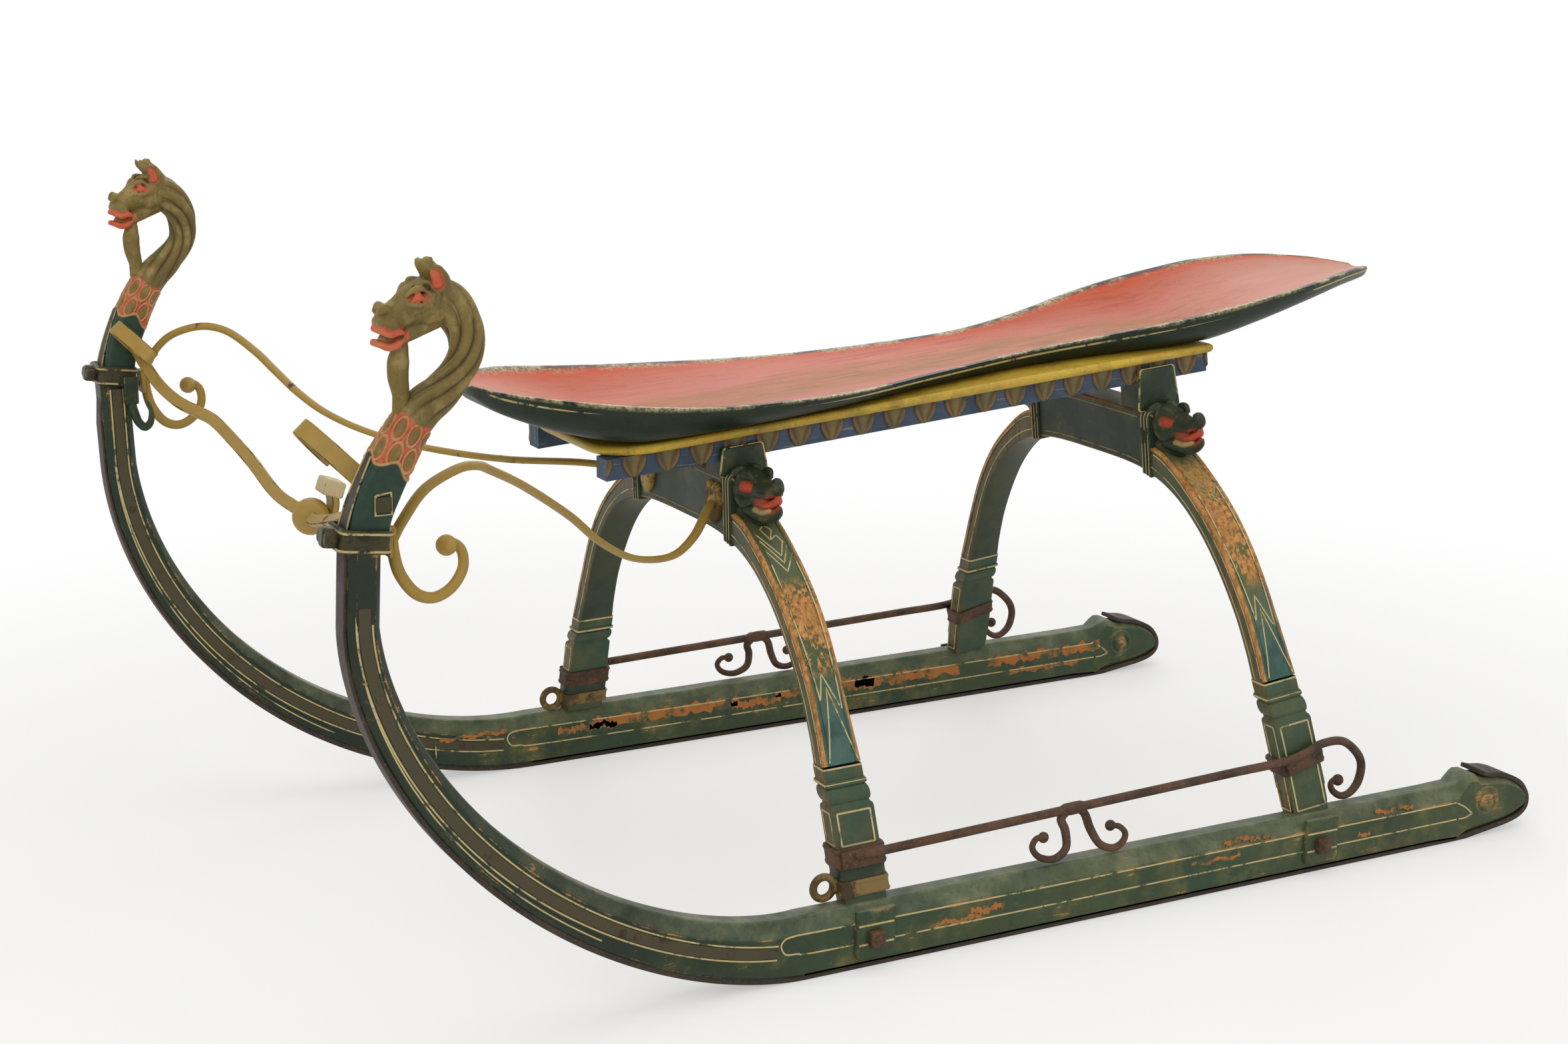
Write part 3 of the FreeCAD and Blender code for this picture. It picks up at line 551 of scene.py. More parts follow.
def old_paint(name, tones, along, worn, chips, wood=BARE_WOOD, gloss=(0.42, 0.7), dust_and_sheen=None,
              shaded=None):
    """Paint in three tones, worn to wood where the wear field and noise add up. Shaded names a
    darker tone and the two places along the sleigh between which the paint turns to it."""
    grain = [70.0 if axis != along else 5.0 for axis in "XYZ"]

    def paint():
        cloud = noise(21.0, detail=6.0, rough=0.65)
        fine = noise(160.0, detail=3.0)
        streak = noise(3.0, grain, 6.0, 0.7)
        tint = mixed(noise(5.0, detail=5.0)(0.40, 0.60), *tones[:2])
        tint = mixed(cloud(0.50, 0.68), tint, tones[2])
        if shaded:
            dark, start, full = shaded
            tint = mixed((split(here(), 1) + cloud * 0.2)(start, full) * 0.8, tint, dark)
        edge = (field("wear") * worn + cloud * 0.9 + streak * 0.35)(0.98, 1.10)
        flake = (streak * 0.6 + cloud * 0.5)(chips, chips + 0.03)
        gone = edge | flake * 0.85
        tint = mixed(gone, tint, mixed(streak(0.38, 0.62), *wood))
        # Upward faces turn grey green in clouds: partly dust, partly a painted sheen where the top
        # light falls.
        if dust_and_sheen:
            facing_up = split(add("TexCoord", out=FACING_OUT), 2)
            tint = mixed(facing_up(0.25, 0.75) * cloud(0.30, 0.62), tint, dust_and_sheen)
        soil = noise(9.0, detail=7.0, rough=0.7)(0.45, 0.72) * 0.45
        tint = mixed(soil, tint, (38, 32, 22))
        tint = mixed(fine(0.58, 0.70) * 0.35, tint, (46, 40, 28))
        return tint, (gone | soil).between(*gloss), streak * 0.7 + fine * 0.25 - gone * 0.5

    return finish(name, paint, 0.0007)


runner_green = old_paint("runner_green", ((66, 78, 50), (50, 70, 50), (96, 98, 60)), "Y", 0.6,
                         0.66, dust_and_sheen=(116, 122, 94), shaded=((22, 36, 26), -0.08, -0.42))
beam_green = old_paint("beam_green", ((44, 56, 38), (34, 48, 34), (70, 74, 46)), "X", 0.8, 0.68)
moulding_yellow = old_paint("moulding_yellow", ((204, 172, 62), (190, 156, 58), (172, 140, 56)),
                            "Y", 0.5, 0.68, ((104, 74, 34), (150, 112, 54)), (0.22, 0.5))
print("painted wood ready")

# %% [markdown]
# The legs need a recipe of their own. Olive paint on top turns teal towards the foot, and
# each leg was knocked bare over one stretch of its length. The mesh stores how far down the
# leg a point lies and whether it is on a narrow face; the nodes only read those numbers.

# %% Paint of the legs
TEAL = (46, 80, 74), (72, 104, 96)
FOOT_TONES = (52, 76, 58), (76, 84, 56)
LEG_BARE = (146, 96, 46), (206, 150, 86)
NARROW_BROWN = (78, 64, 38), (112, 92, 52)
INNER_TONES = (44, 54, 36), (60, 60, 38)


def leg_material(name, tones, bare_from, bare_to, cover):
    """Paint of a leg: bare wood lies between two shares of its length, where noise passes
    the cover level, and on every rubbed bead."""
    def paint():
        down, broad = field("down"), noise(9.0, detail=5.0)
        cloud = noise(26.0, detail=6.0, rough=0.65)
        streak = noise(3.0, (60, 60, 5), 6.0, 0.7)
        clouded = cloud(0.40, 0.60)
        tint = mixed(broad(0.42, 0.58), *tones)
        tint = mixed(down(0.60, 0.88), tint, mixed(clouded, *TEAL))
        tint = mixed(down(1.4, 1.6), tint, mixed(clouded, *FOOT_TONES))
        stretch = down(bare_from, bare_from + 0.06) * down(bare_to + 0.06, bare_to)
        patch = stretch * (broad * 0.6 + streak * 0.4)(cover, cover + 0.03) * field("outer")
        gone = patch | (field("wear") * 0.75 + cloud * 0.9)(0.98, 1.12)
        tint = mixed(gone, tint, mixed(streak(0.38, 0.62), *LEG_BARE))
        tint = mixed(field("outer")(0.6, 0.3) * 0.85, tint, mixed(clouded, *INNER_TONES))
        brown = mixed(streak(0.40, 0.60), *NARROW_BROWN)
        brown = mixed(broad(0.50, 0.58), brown, tones[0])
        tint = mixed(field("narrow") * 0.9, tint, brown)
        tint = mixed(noise(9.0, detail=7.0)(0.48, 0.70) * 0.4, tint, (40, 38, 26))
        tint = mixed(noise(180.0, detail=3.0)(0.58, 0.70) * 0.3, tint, (46, 42, 30))
        return tint, gone.between(0.42, 0.68), streak * 0.8 - gone * 0.5

    return finish(name, paint)


leg_paint = {"front": leg_material("front_leg", ((72, 84, 54), (90, 92, 56)), 0.32, 0.64, 0.45),
             "rear": leg_material("rear_leg", ((76, 88, 58), (108, 106, 66)), 0.10, 0.60, 0.46)}
print("leg paints ready")

# %% [markdown]
# The irons are of two kinds. Some were painted ochre, brown or cream and have gone brown along
# their edges; the rest are bare, with brown and orange rust in clouds and pits. Rusted iron
# scatters light like stone, so it is no mirror: metallic stays zero and roughness high.

# %% Irons
def old_iron(name, tones, kept_paint=None, gloss=(0.7, 0.4), pits=0.0009):
    """Rust in clouds with pits, and the paint or shine that survives on it. Gloss is the
    roughness where it is gone and where it is kept."""
    def paint():
        cloud, broad = noise(26.0, detail=7.0, rough=0.7), noise(8.0, detail=5.0)
        pitted = noise(240.0, detail=4.0, rough=0.7)
        tint = mixed(cloud(0.38, 0.60), *tones[:2])
        tint = mixed(pitted(0.56, 0.70), tint, tones[2])
        kept = broad(0.30, 0.50)
        if kept_paint:
            kept = (broad + cloud - field("wear") * 0.45)(0.76, 0.84)
            tint = mixed(kept, tint, mixed(cloud, *kept_paint))
            tint = mixed(hollows() * 0.6, tint, tones[0])
        return tint, kept.between(*gloss), pitted + cloud * 0.8

    return finish(name, paint, pits)


rusty_iron = old_iron("rusty_iron", ((58, 44, 34), (92, 68, 50), (128, 84, 54)), None, (0.85, 0.55))
shoe_iron = old_iron("shoe_iron", ((48, 42, 38), (66, 56, 46), (96, 72, 50)), None, (0.85, 0.55))
ochre_iron = old_iron("ochre_iron", ((76, 58, 30), (104, 80, 38), (60, 46, 24)),
                      ((176, 144, 70), (140, 112, 48)), (0.7, 0.4), 0.0006)
bronze_iron = old_iron("bronze_iron", ((70, 56, 34), (104, 84, 48), (52, 40, 26)),
                       ((142, 118, 66), (112, 92, 52)), (0.75, 0.4))
clamp_iron = old_iron("clamp_iron", ((46, 40, 24), (66, 56, 32), (34, 28, 18)),
                      ((72, 66, 38), (50, 48, 28)), (0.7, 0.35))
strap_brown = old_iron("strap_brown", ((60, 46, 30), (82, 64, 40), (40, 38, 28)),
                       ((58, 60, 44), (84, 70, 46)), (0.7, 0.35))
socket_cream = old_iron("socket_cream", ((96, 80, 56), (120, 100, 70), (76, 60, 40)),
                        ((206, 190, 148), (170, 150, 108)))
print("irons ready")

# %% [markdown]
# Fine cream lines follow every edge. They were brushed on by hand, so the geometry is a thin
# strip of paint, and its material lets the ground show through where the line has worn away.

# %% Line paint
def line_paint(name, ground, line, kept=(0.40, 0.47)):
    """Cream brushed over a ground colour, broken up by noise."""
    def paint():
        cloud = noise(34.0, detail=6.0, rough=0.7)
        tint = mixed(noise(90.0), line, np.array(line) * (0.80, 0.76, 0.66))
        return mixed(cloud(*kept), ground, tint), 0.6, noise(200.0)

    return finish(name, paint, 0.0003)


cream_on_green = line_paint("cream_on_green", (70, 80, 58), (212, 196, 146))
bare_patch = line_paint("bare_patch", (74, 84, 60), (186, 120, 62), (0.40, 0.50))
cream_on_dark = line_paint("cream_on_dark", (40, 46, 32), (196, 182, 132))
cream_on_olive = line_paint("cream_on_olive", (120, 114, 78), (214, 200, 152))
chevron_paint = line_paint("chevron_paint", (86, 92, 66), (168, 150, 92), (0.42, 0.52))
print("line paints ready")

# %% [markdown]
# Each runner is one plank, bent up in front in a long superellipse and rolled at the tail. It
# is square with chamfers at the neck, and along the flat a box with a steep roof. The two
# bends differ by a few centimetres, so a table gives each side its own.

# %% Runners: the line they follow
RUNNER_X, RUNNER_WIDE, RUNNER_DEEP = 0.431, 0.050, 0.078
NECK_X, NECK_Z, NECK_WIDE = 0.517, 0.604, 0.042
BENDS = {"left": dict(start=28.4, run=0.5633, rise=0.5179, power=2 / 1.722, wide=0.0398,
                      deep=0.039),
         "right": dict(start=21.8, run=0.5759, rise=0.4965, power=2 / 1.932, wide=0.0444,
                       deep=0.0433)}
CURVE_ROWS, FLAT_END = 90, 1592
SHOE, SHOE_THIN = 0.008, 0.0036
ARRIS_DROP, ROOF_HALF = 0.019, 0.012
TAIL_WOOD = ((1592, 6, 79), (1604, 7, 86), (1614, 8, 91), (1624, 9, 90), (1631, 10, 84),
             (1640, 11, 83), (1660, 13, 81), (1680, 16, 77), (1696, 20, 70), (1707, 26, 61),
             (1713, 33, 50))


def splay(z):
    """The front leans out of its track from half the runner's height upward."""
    low = RUNNER_DEEP / 2
    return (NECK_X - RUNNER_X) * np.maximum(0, z - low) / (NECK_Z - low)


def runner_line(bend):
    """Rows down the neck foot, round the curve and along the flat. The outer curve is the
    superellipse y = run (1 - cos^p t), z = rise (1 - sin^p t)."""
    t = np.linspace(0, np.pi / 2, CURVE_ROWS)
    y = np.concatenate([[0, 0], bend["run"] * (1 - np.cos(t) ** bend["power"])]) + at(bend["start"])
    z = np.concatenate([[NECK_Z, (NECK_Z + bend["rise"]) / 2],
                        bend["rise"] * (1 - np.sin(t) ** bend["power"])])
    flat = np.linspace(y[-1], at(FLAT_END), 24)[1:]
    y, z = np.concatenate([y, flat]), np.concatenate([z, 0 * flat])
    share = np.concatenate([[0, 0], t / (np.pi / 2), 0 * flat + 1])
    run = tangents(np.stack([y, z], 1))
    return dict(y=y, z=z, share=share, inward=np.stack([-run[:, 1], run[:, 0]], 1),
                deep=bend["deep"] + (RUNNER_DEEP - bend["deep"]) * share,
                wide=bend["wide"] + (RUNNER_WIDE - bend["wide"]) * share,
                shoe=SHOE_THIN + (SHOE - SHOE_THIN) * rising(share, 0, 0.6))


def on_runner(line, across, depth):
    """3-D points at an offset across the runner and a depth from its outer curve, per row."""
    centre = RUNNER_X + splay(line["z"] + line["inward"][:, 1] * line["deep"] / 2)
    return xyz(centre + across, line["y"] + line["inward"][:, 0] * depth,
               line["z"] + line["inward"][:, 1] * depth)


LINES = {hand: runner_line(bend) for hand, bend in BENDS.items()}
print("runner lines:", {hand: len(line["y"]) for hand, line in LINES.items()})

# %% [markdown]
# The wood is a stack of sections along that line. Each is drawn flat, across the runner, so
# its corners can rise and fall with the roof. At the tail the sections stand upright, and a
# turned boss is carved on both faces.

# %% Runners: wood
BOSS_Y, BOSS_Z = 1641, 0.050
BOSS_ROWS = ((0.0225, -0.002), (0.0225, 0.0), (0.021, 0.0016), (0.018, 0.0022), (0.0155, 0.0014),
             (0.0145, 0.0), (0.0125, 0.0004), (0.0115, 0.0022), (0.008, 0.0034), (0.003, 0.004))
CHAMFER, SOFT = 0.008, 0.0022


def section(deep, wide, roof, low=SHOE):
    """Runner section from the shoe to the top: upright sides and a roof that starts at the
    arris. Roof 0 is a plain chamfer of up to 8 mm, roof 1 the full steep facet."""
    top_half = (wide / 2 - CHAMFER) * (1 - roof) + ROOF_HALF * roof
    chamfer = min(CHAMFER, 0.2 * (deep - low)) * (1 - roof)
    arris = deep - chamfer - ARRIS_DROP * roof
    half, side_low = wide / 2, low + chamfer + 0.001
    corners = [(-half + chamfer, low), (half - chamfer, low), (half, side_low), (half, arris),
               (top_half, deep), (-top_half, deep), (-half, arris), (-half, side_low)]
    return outline(corners, SOFT * np.array([0.4, 0.4, 0.4, 1, 1, 1, 1, 0.4]))


tail_rings = []
for k, (station, low, top) in enumerate(TAIL_WOOD):
    ring = section((top - low) / 1000 + SHOE, RUNNER_WIDE, max(0.0, 1 - k / 1.5))[0]
    tail_rings.append(xyz(RUNNER_X + ring[:, 0], at(station), ring[:, 1] - SHOE + low / 1000))
turn = circle(40)
bosses = []
for sign in SIDES:
    rings = [xyz(RUNNER_X + sign * (RUNNER_WIDE / 2 + h), at(BOSS_Y) + r * np.cos(turn),
                 BOSS_Z + r * np.sin(turn)) for r, h in BOSS_ROWS]
    bosses.append(skin(rings, 0.5))
for hand, line in LINES.items():
    rows = zip(line["deep"], line["wide"], rising(line["share"], 0.25, 0.5), line["shoe"])
    shapes, rubs = [np.array(values) for values in zip(*[section(*row) for row in rows])]
    rings = carry(shapes, on_runner(line, 0, 0), X[None], xyz(0, *line["inward"].T))
    rub = np.concatenate([rubs[:-1], np.tile(rubs[-1], (len(tail_rings), 1))])
    wood = skin(np.concatenate([rings[:-1], tail_rings]), rub * 0.7)
    put("runner", hand, [wood] + bosses, runner_green)

# %% [markdown]
# The iron shoe runs under the sole. In front it narrows to a flat strap that climbs the
# curve, passes under the clamp and ends in a tip on the neck; at the tail it curls right round
# and lies down on top. One bar along one path gives all of it, with its width as a table.

# %% Runners: iron shoe
STRAP_TIP_Z, STRAP_LEAN, STRAP_WIDE, STRAP_THICK, TIP_ROWS = 0.700, 30.5, 0.026, 0.0036, 8
TAIL_IRON = ((1612, 5), (1636, 8), (1660, 11), (1682, 14), (1702, 19), (1714, 27), (1718, 37),
             (1716, 49), (1705, 65), (1687, 76), (1668, 83), (1650, 86), (1636, 90))
curl = smooth([(RUNNER_X, at(s), h / 1000) for s, h in TAIL_IRON], 5)
tip_z = np.linspace(STRAP_TIP_Z, NECK_Z + 0.012, TIP_ROWS)
climb = (tip_z - NECK_Z) / (STRAP_TIP_Z - NECK_Z)
tip = xyz(NECK_X + 0.0123 * climb, at(29.2 + STRAP_LEAN * climb ** 1.5), tip_z)
for hand, line in LINES.items():
    path = np.concatenate([tip, on_runner(line, 0, line["shoe"] / 2)[1:], curl])
    thick = np.concatenate([np.full(TIP_ROWS, STRAP_THICK), line["shoe"][1:],
                            np.linspace(SHOE, 0.006, len(curl))])
    wide = np.concatenate([np.linspace(0.014, STRAP_WIDE, TIP_ROWS),
                           STRAP_WIDE + 0.018 * rising(line["share"][1:], 0.1, 0.7),
                           np.full(len(curl), 0.046)])
    put("runner_shoe", hand, [bar(path, X, wide, thick, 0.0016, 0.5)], shoe_iron, "iron")

# %% [markdown]
# Flat irons are let into both faces of the curve, with a cream line beside them, and two
# stripes run along the flat. The smith set them by eye, so they follow each runner's own bend.

# %% Runners: face irons and lines
FACE_IRON_END, FACE_IRON_WIDE, LINE_OFF, LINE_WIDE = 557, 0.013, 0.0086, 0.0019
FACE_ROWS = np.arange(1, CURVE_ROWS + 2)
RIVETS = ((189, 240), (349, 109), (375, 101), (70, 440), (495, 60))
FLAT_STROKES = (((580, 60), (900, 57), (1200, 57), (1590, 57)),
                ((580, 37), (620, 34), (900, 32.5), (1250, 32.5), (1593, 33)),
                ((580, 60), (566, 58), (560, 50), (566, 39), (580, 37)),
                ((1588, 57), (1604, 48), (1617, 37)), ((1590, 33), (1604, 33), (1617, 37)),
                ((450, 62), (450, 36)))
for hand, line in LINES.items():
    rows = FACE_ROWS[at(FACE_IRON_END) >= line["y"][FACE_ROWS]]
    middle = line["shoe"] + (line["deep"] - line["shoe"]) * 0.47
    taper = np.full(len(rows), FACE_IRON_WIDE)
    taper[-3:] *= (0.9, 0.7, 0.4)
    irons, strokes = [], []
    for sign in SIDES:
        run = on_runner(line, sign * (line["wide"] / 2 + 0.0002), middle)[rows]
        run[0, 2] = NECK_Z - 0.006
        irons.append(bar(run, X, 0.0030, taper, 0.0009, 0.2))
        out = sign * (line["wide"] / 2 + 0.0001)
        for edge in (-1, 1):
            stroke = on_runner(line, out, middle + edge * LINE_OFF)[rows]
            stroke[0, 2] = NECK_Z - 0.006
            strokes.append(painted(stroke, sign * X, LINE_WIDE))
        for station, height in RIVETS:
            gap = np.hypot(run[:, 1] - at(station), run[:, 2] - height / 1000)
            irons.append(dome(run[gap.argmin()] + sign * X * 0.0012, sign * X, 0.0046, 0.0026))
        for points in FLAT_STROKES:
            s, h = np.transpose(points)
            path = xyz(RUNNER_X + sign * (RUNNER_WIDE / 2 + 0.0001), at(s), h / 1000)
            strokes.append(painted(smooth(path, 6), sign * X, LINE_WIDE))
        strokes.append(painted(on_runner(line, out, line["shoe"] + 0.009)[2:60], sign * X, 0.0016))
    put("runner_strap", hand, irons, strap_brown, "iron")
    put("runner_lines", hand, strokes, cream_on_green, "green_wood", ADDED)

WORN_SPOTS = ((765, 834, 37, 10), (820, 868, 44, 12), (1149, 1226, 46, 7), (1200, 1256, 67, 11),
              (1262, 1276, 62, 8), (1447, 1512, 66, 9), (1420, 1440, 40, 8), (655, 676, 41, 7))
INNER_SPOTS = ((640, 735, 48, 15), (690, 935, 52, 26), (925, 1010, 46, 18), (1000, 1175, 52, 24),
               (1140, 1330, 50, 26), (1385, 1600, 52, 24), (1420, 1560, 30, 12), (456, 560, 62, 8))
patches = []
for sign, spots in zip(SIDES, (WORN_SPOTS, INNER_SPOTS)):
    for low, high, height, tall in spots:
        place = np.linspace(low, high, 32)
        shape = 0.60 + 0.40 * np.sin(place * 0.31) * np.cos(place * 0.83 + height)
        path = xyz(RUNNER_X + sign * RUNNER_WIDE / 2, at(place),
                   (height + 2 * np.sin(place * 0.17)) / 1000)
        patches.append(painted(path, sign * X, tall / 1000 * shape, 0.0002, 0.0006))
pair("runner_bare_spots", patches, bare_patch, "green_wood", ADDED)
print("runners ready")

# %% [markdown]
# A clamp of bent iron grips the joint between runner and neck, with a nut on its ear. The
# irons that it carries are the trace hook behind it and the painted stay.

# %% Neck clamps and trace hooks
CLAMP_HIGH, CLAMP_THICK, CLAMP_Z, CLAMP_Y = 0.025, 0.0036, NECK_Z + 0.010, at(48.5)
CLAMP_HALF_X, CLAMP_HALF_Y, CLAMP_TILT, CLAMP_SHEAR = 0.0225, 0.0228, -7.0, 0.15


def band(centre, half_x, half_y, high, thick, rims=0.0, sheared=0.0):
    """Band round a square post: its section is carried round a soft rectangle. Rims are
    half-round edges: thickness + rim * sin^2 at both edges."""
    ring, _ = rectangle(half_x, half_y, 0.006, 6)
    level = np.linspace(-0.5, 0.5, 17)
    proud = thick + rims * np.sin(np.pi * rising(np.abs(level) * 2, 0.45, 0.55)) ** 2
    outer = [xyz(*(ring + unit(ring) * p).T, u * high) for u, p in zip(level, proud)]
    inner = [xyz(*ring.T, u * high) for u in level[::-1]]
    rings = np.array(outer + inner + outer[:1])
    rings[..., 0] += sheared * rings[..., 2]
    return skin(rings + np.asarray(centre, float), 0.3, ends=False)


def tipped(shells, pivot, degrees):
    """Tip shells about a line across the sleigh: y' = y cos - z sin, z' = y sin + z cos."""
    c, s = np.cos(np.radians(degrees)), np.sin(np.radians(degrees))
    matrix = np.array([[1, 0, 0], [0, c, -s], [0, s, c]])
    return [dict(shell, verts=(shell["verts"] - pivot) @ matrix.T + pivot) for shell in shells]


clamp_middle = np.array([NECK_X, CLAMP_Y, CLAMP_Z])
clamp_parts = [band(clamp_middle, CLAMP_HALF_X, CLAMP_HALF_Y, CLAMP_HIGH, CLAMP_THICK, 0.0018,
                    CLAMP_SHEAR),
               block((NECK_X, at(18.5), CLAMP_Z), (0.016, 0.021, 0.021), 0.004)]
for sign in SIDES:
    nut = np.array([NECK_X + sign * 0.011, at(17), CLAMP_Z])
    clamp_parts += [block(nut, (0.008, 0.017, 0.017), 0.005),
                    dome(nut + sign * X * 0.004, sign * X, 0.0056, 0.0030)]
pair("neck_clamp", tipped(clamp_parts, clamp_middle, CLAMP_TILT), clamp_iron, "iron")
rims = []
ring, _ = rectangle(CLAMP_HALF_X + 0.0048, CLAMP_HALF_Y + 0.0048, 0.008, 6)
ring = xyz(*np.vstack([ring, ring[:1]]).T, 0)
for level in (-0.0092, 0.0092):
    rims.append(painted(ring + clamp_middle + (CLAMP_SHEAR * level, 0, level), unit(ring), 0.0024,
                        0.0004))
pair("clamp_lines", tipped(rims, clamp_middle, CLAMP_TILT), cream_on_dark, "iron", ADDED)

HOOK_TURN, HOOK_SIZE = np.radians(32), 0.042
HOOK_SHARES = ((0, -0.10), (0, -0.40), (0.04, -0.70), (0.14, -0.95), (0.28, -1.20), (0.55, -1.34),
               (0.80, -1.15), (0.86, -0.80), (0.74, -0.52))
HOOK_ROUND = (0.0060, 0.0062, 0.0062, 0.0060, 0.0058, 0.0055, 0.0048, 0.0036, 0.0024)
hook_out = np.array([-np.cos(HOOK_TURN), np.sin(HOOK_TURN), 0])
hook_start = np.array([NECK_X - CLAMP_HALF_X - CLAMP_THICK - 0.0065, at(62), NECK_Z])
hook = smooth([hook_start + HOOK_SIZE * (a * hook_out + b * Z) for a, b in HOOK_SHARES], 8)
pair("trace_hook", [tube(hook, HOOK_ROUND, np.cross(hook_out, Z)),
                    block(hook_start - 0.008 * Z, (0.014, 0.019, 0.038), 0.002)],
     beam_green, "iron")
print("clamps ready")

# %% [markdown]
# Above the clamp the plank's end becomes a carved neck: square at its foot, then round with
# seven twisted flutes like a rope, and a collar of leaves between them. All three are one
# surface: the ring's radius is a product of a superellipse, the flutes and the relief.

# %% Carved necks
NECK_ROWS = ((51, 604, 20.5), (57, 638, 21), (67, 665, 22), (79, 690, 22.5), (96, 720, 22),
             (113, 743, 21), (131, 758, 19.5), (146, 773, 17.5), (155, 787, 17.3), (159, 802, 18),
             (158, 819, 19), (151, 835, 20.5), (139, 849, 22), (122, 857, 21))
FLUTES, TWIST, FLUTE_DEEP = 7, 4.0, 0.20
LEAF_LOW, LEAF_HIGH = 0.225, 0.345
HEAD_LEAN = 0.0001231


def horse(points):
    """Rows of (station, height, offset across) in millimetres to places in the neck's leaning
    plane: it stands 0.123 mm further out for each millimetre of height."""
    s, z, across = np.transpose(points)
    return xyz(NECK_X + HEAD_LEAN * (z - 604) + across / 1000, at(s), z / 1000)


def swell(distance, reach):
    """1 at distance 0, easing to 0 at the reach: (1 - (d/r)^2)^2."""
    return np.clip(1 - (distance / reach) ** 2, 0, 1) ** 2


neck_rows = smooth(NECK_ROWS, 22)
neck_path = horse(neck_rows * (1, 1, 0))
neck_half = neck_rows[:, 2:] / 1000
run = tangents(neck_path)
run[:3] = Z
out_dir = unit(np.cross(X, run))
out_dir *= np.sign(out_dir[:, 1:2] + 1e-9)
rise = np.linspace(0, 1, len(neck_path))[:, None]
theta = circle(144)[None]
square = rising(rise, 0.03, 0.27)
power = 7.0 - 5.0 * square
half_x = (NECK_WIDE / 2) * (1 - square) + (neck_half * 0.97) * square
deep_c, side_c = np.abs(np.cos(theta)), np.abs(np.sin(theta))
radius = ((deep_c / neck_half) ** power + (side_c / half_x) ** power) ** (-1 / power)
fluted = rising(rise, 0.33, 0.08)
crest = np.abs(np.cos(FLUTES / 2 * (theta + TWIST * rise - 0.4))) ** 0.75
radius = radius * (1 - fluted * FLUTE_DEEP * (1 - crest) + 0.03 * fluted)

leaf_u = (rise - LEAF_LOW) / (LEAF_HIGH - LEAF_LOW)
wavy = 0.10 * np.cos(4 * theta) - 0.12 * np.clip(np.cos(theta), 0, 1)
collar = rising(leaf_u - wavy, 0, 0.03) * rising(1.0 - leaf_u - wavy * 0.4, 0, 0.04)
almond, vine = np.zeros_like(radius), np.zeros_like(radius)
for k in range(8):
    for row, shift in ((0.24, 0.0), (0.72, 0.5)):
        turn = np.angle(np.exp(1j * (theta - (k + shift) * np.pi / 4 - 0.3)))
        a, b = leaf_u - row + turn * 0.28, turn * 0.9 - (leaf_u - row) * 0.5
        away = np.sqrt((a / 0.25) ** 2 + (b / 0.27) ** 2)
        almond = np.maximum(almond, rising(-away, -0.80, 0.12))
        vine = np.maximum(vine, swell(away - 1.05, 0.17))
vine = np.maximum(vine * (1 - almond), swell(leaf_u - wavy - 0.03, 0.06))
radius = radius + collar * (0.0018 * vine + 0.0009 * almond - 0.0006)
rings = neck_path[:, None] + radius[..., None] * (np.cos(theta)[..., None] * out_dir[:, None]
                                                  + np.sin(theta)[..., None] * X)
# The flutes' hollows make the groove field, which the finish darkens as painted shade.
neck = tagged(skin(rings), red=collar * (1 - vine) * (1 - almond), pale=collar * vine,
              teal=rising(wavy - leaf_u, -0.02, 0.03) + 0 * radius,
              groove=fluted * (1 - crest) ** 1.3)
print("neck rings", rings.shape)

# %% [markdown]
# The head is carved from the same block, so its parts flow into each other. Sculpted forms
# are laid out as tubes and swellings that overlap; a voxel remesh melts them into one skin and
# a little smoothing rounds the joints. Paint is then masked by the distance to a feature.

# %% Horse heads
def melted(shells, voxel, rounds):
    """One skin over overlapping shells: voxel remesh, then smoothing."""
    verts, quads, tris = merged([outward(s) for s in shells])
    mesh = bpy.data.meshes.new("clay")
    mesh.from_pydata(verts.tolist(), [], quads.tolist() + tris.tolist())
    obj = put_in("clay", mesh)
    remesh = obj.modifiers.new("remesh", "REMESH")
    remesh.mode, remesh.voxel_size = "VOXEL", voxel
    ease = obj.modifiers.new("ease", "SMOOTH")
    ease.factor, ease.iterations = 0.5, rounds
    ready = obj.evaluated_get(bpy.context.evaluated_depsgraph_get()).to_mesh()
    verts = np.zeros(len(ready.vertices) * 3)
    ready.vertices.foreach_get("co", verts)
    quads = np.zeros(len(ready.loops), np.int32)
    ready.loops.foreach_get("vertex_index", quads)
    obj.to_mesh_clear()
    bpy.data.objects.remove(obj)
    verts, quads = verts.reshape(-1, 3), quads.reshape(-1, 4)
    return dict(verts=verts, quads=quads, quad_uv=np.zeros((len(quads), 4, 2)),
                tris=np.zeros((0, 3), int), tri_uv=np.zeros((0, 3, 2)), wear=np.zeros(len(verts)))


def near(verts, points, reach):
    """1 within reach of a chain of points, easing off to 0 over a third of the reach more."""
    gap = np.full(len(verts), np.inf)
    for spot in smooth(points, 8):
        gap = np.minimum(gap, np.linalg.norm(verts - spot, axis=1))
    return rising(-gap, -1.35 * reach, 0.35 * reach)


def sided(points):
    """The same feature on the other cheek: its last number changes sign."""
    return [(*point[:2], -point[2]) for point in points]


def limb(points, radius, flat=1.0):
    """Swelling along a smooth line in the neck's plane; flat squeezes it across the sleigh."""
    return tube(smooth(horse(points), 8), np.asarray(radius) / 1000, X, 20, flat, 7)


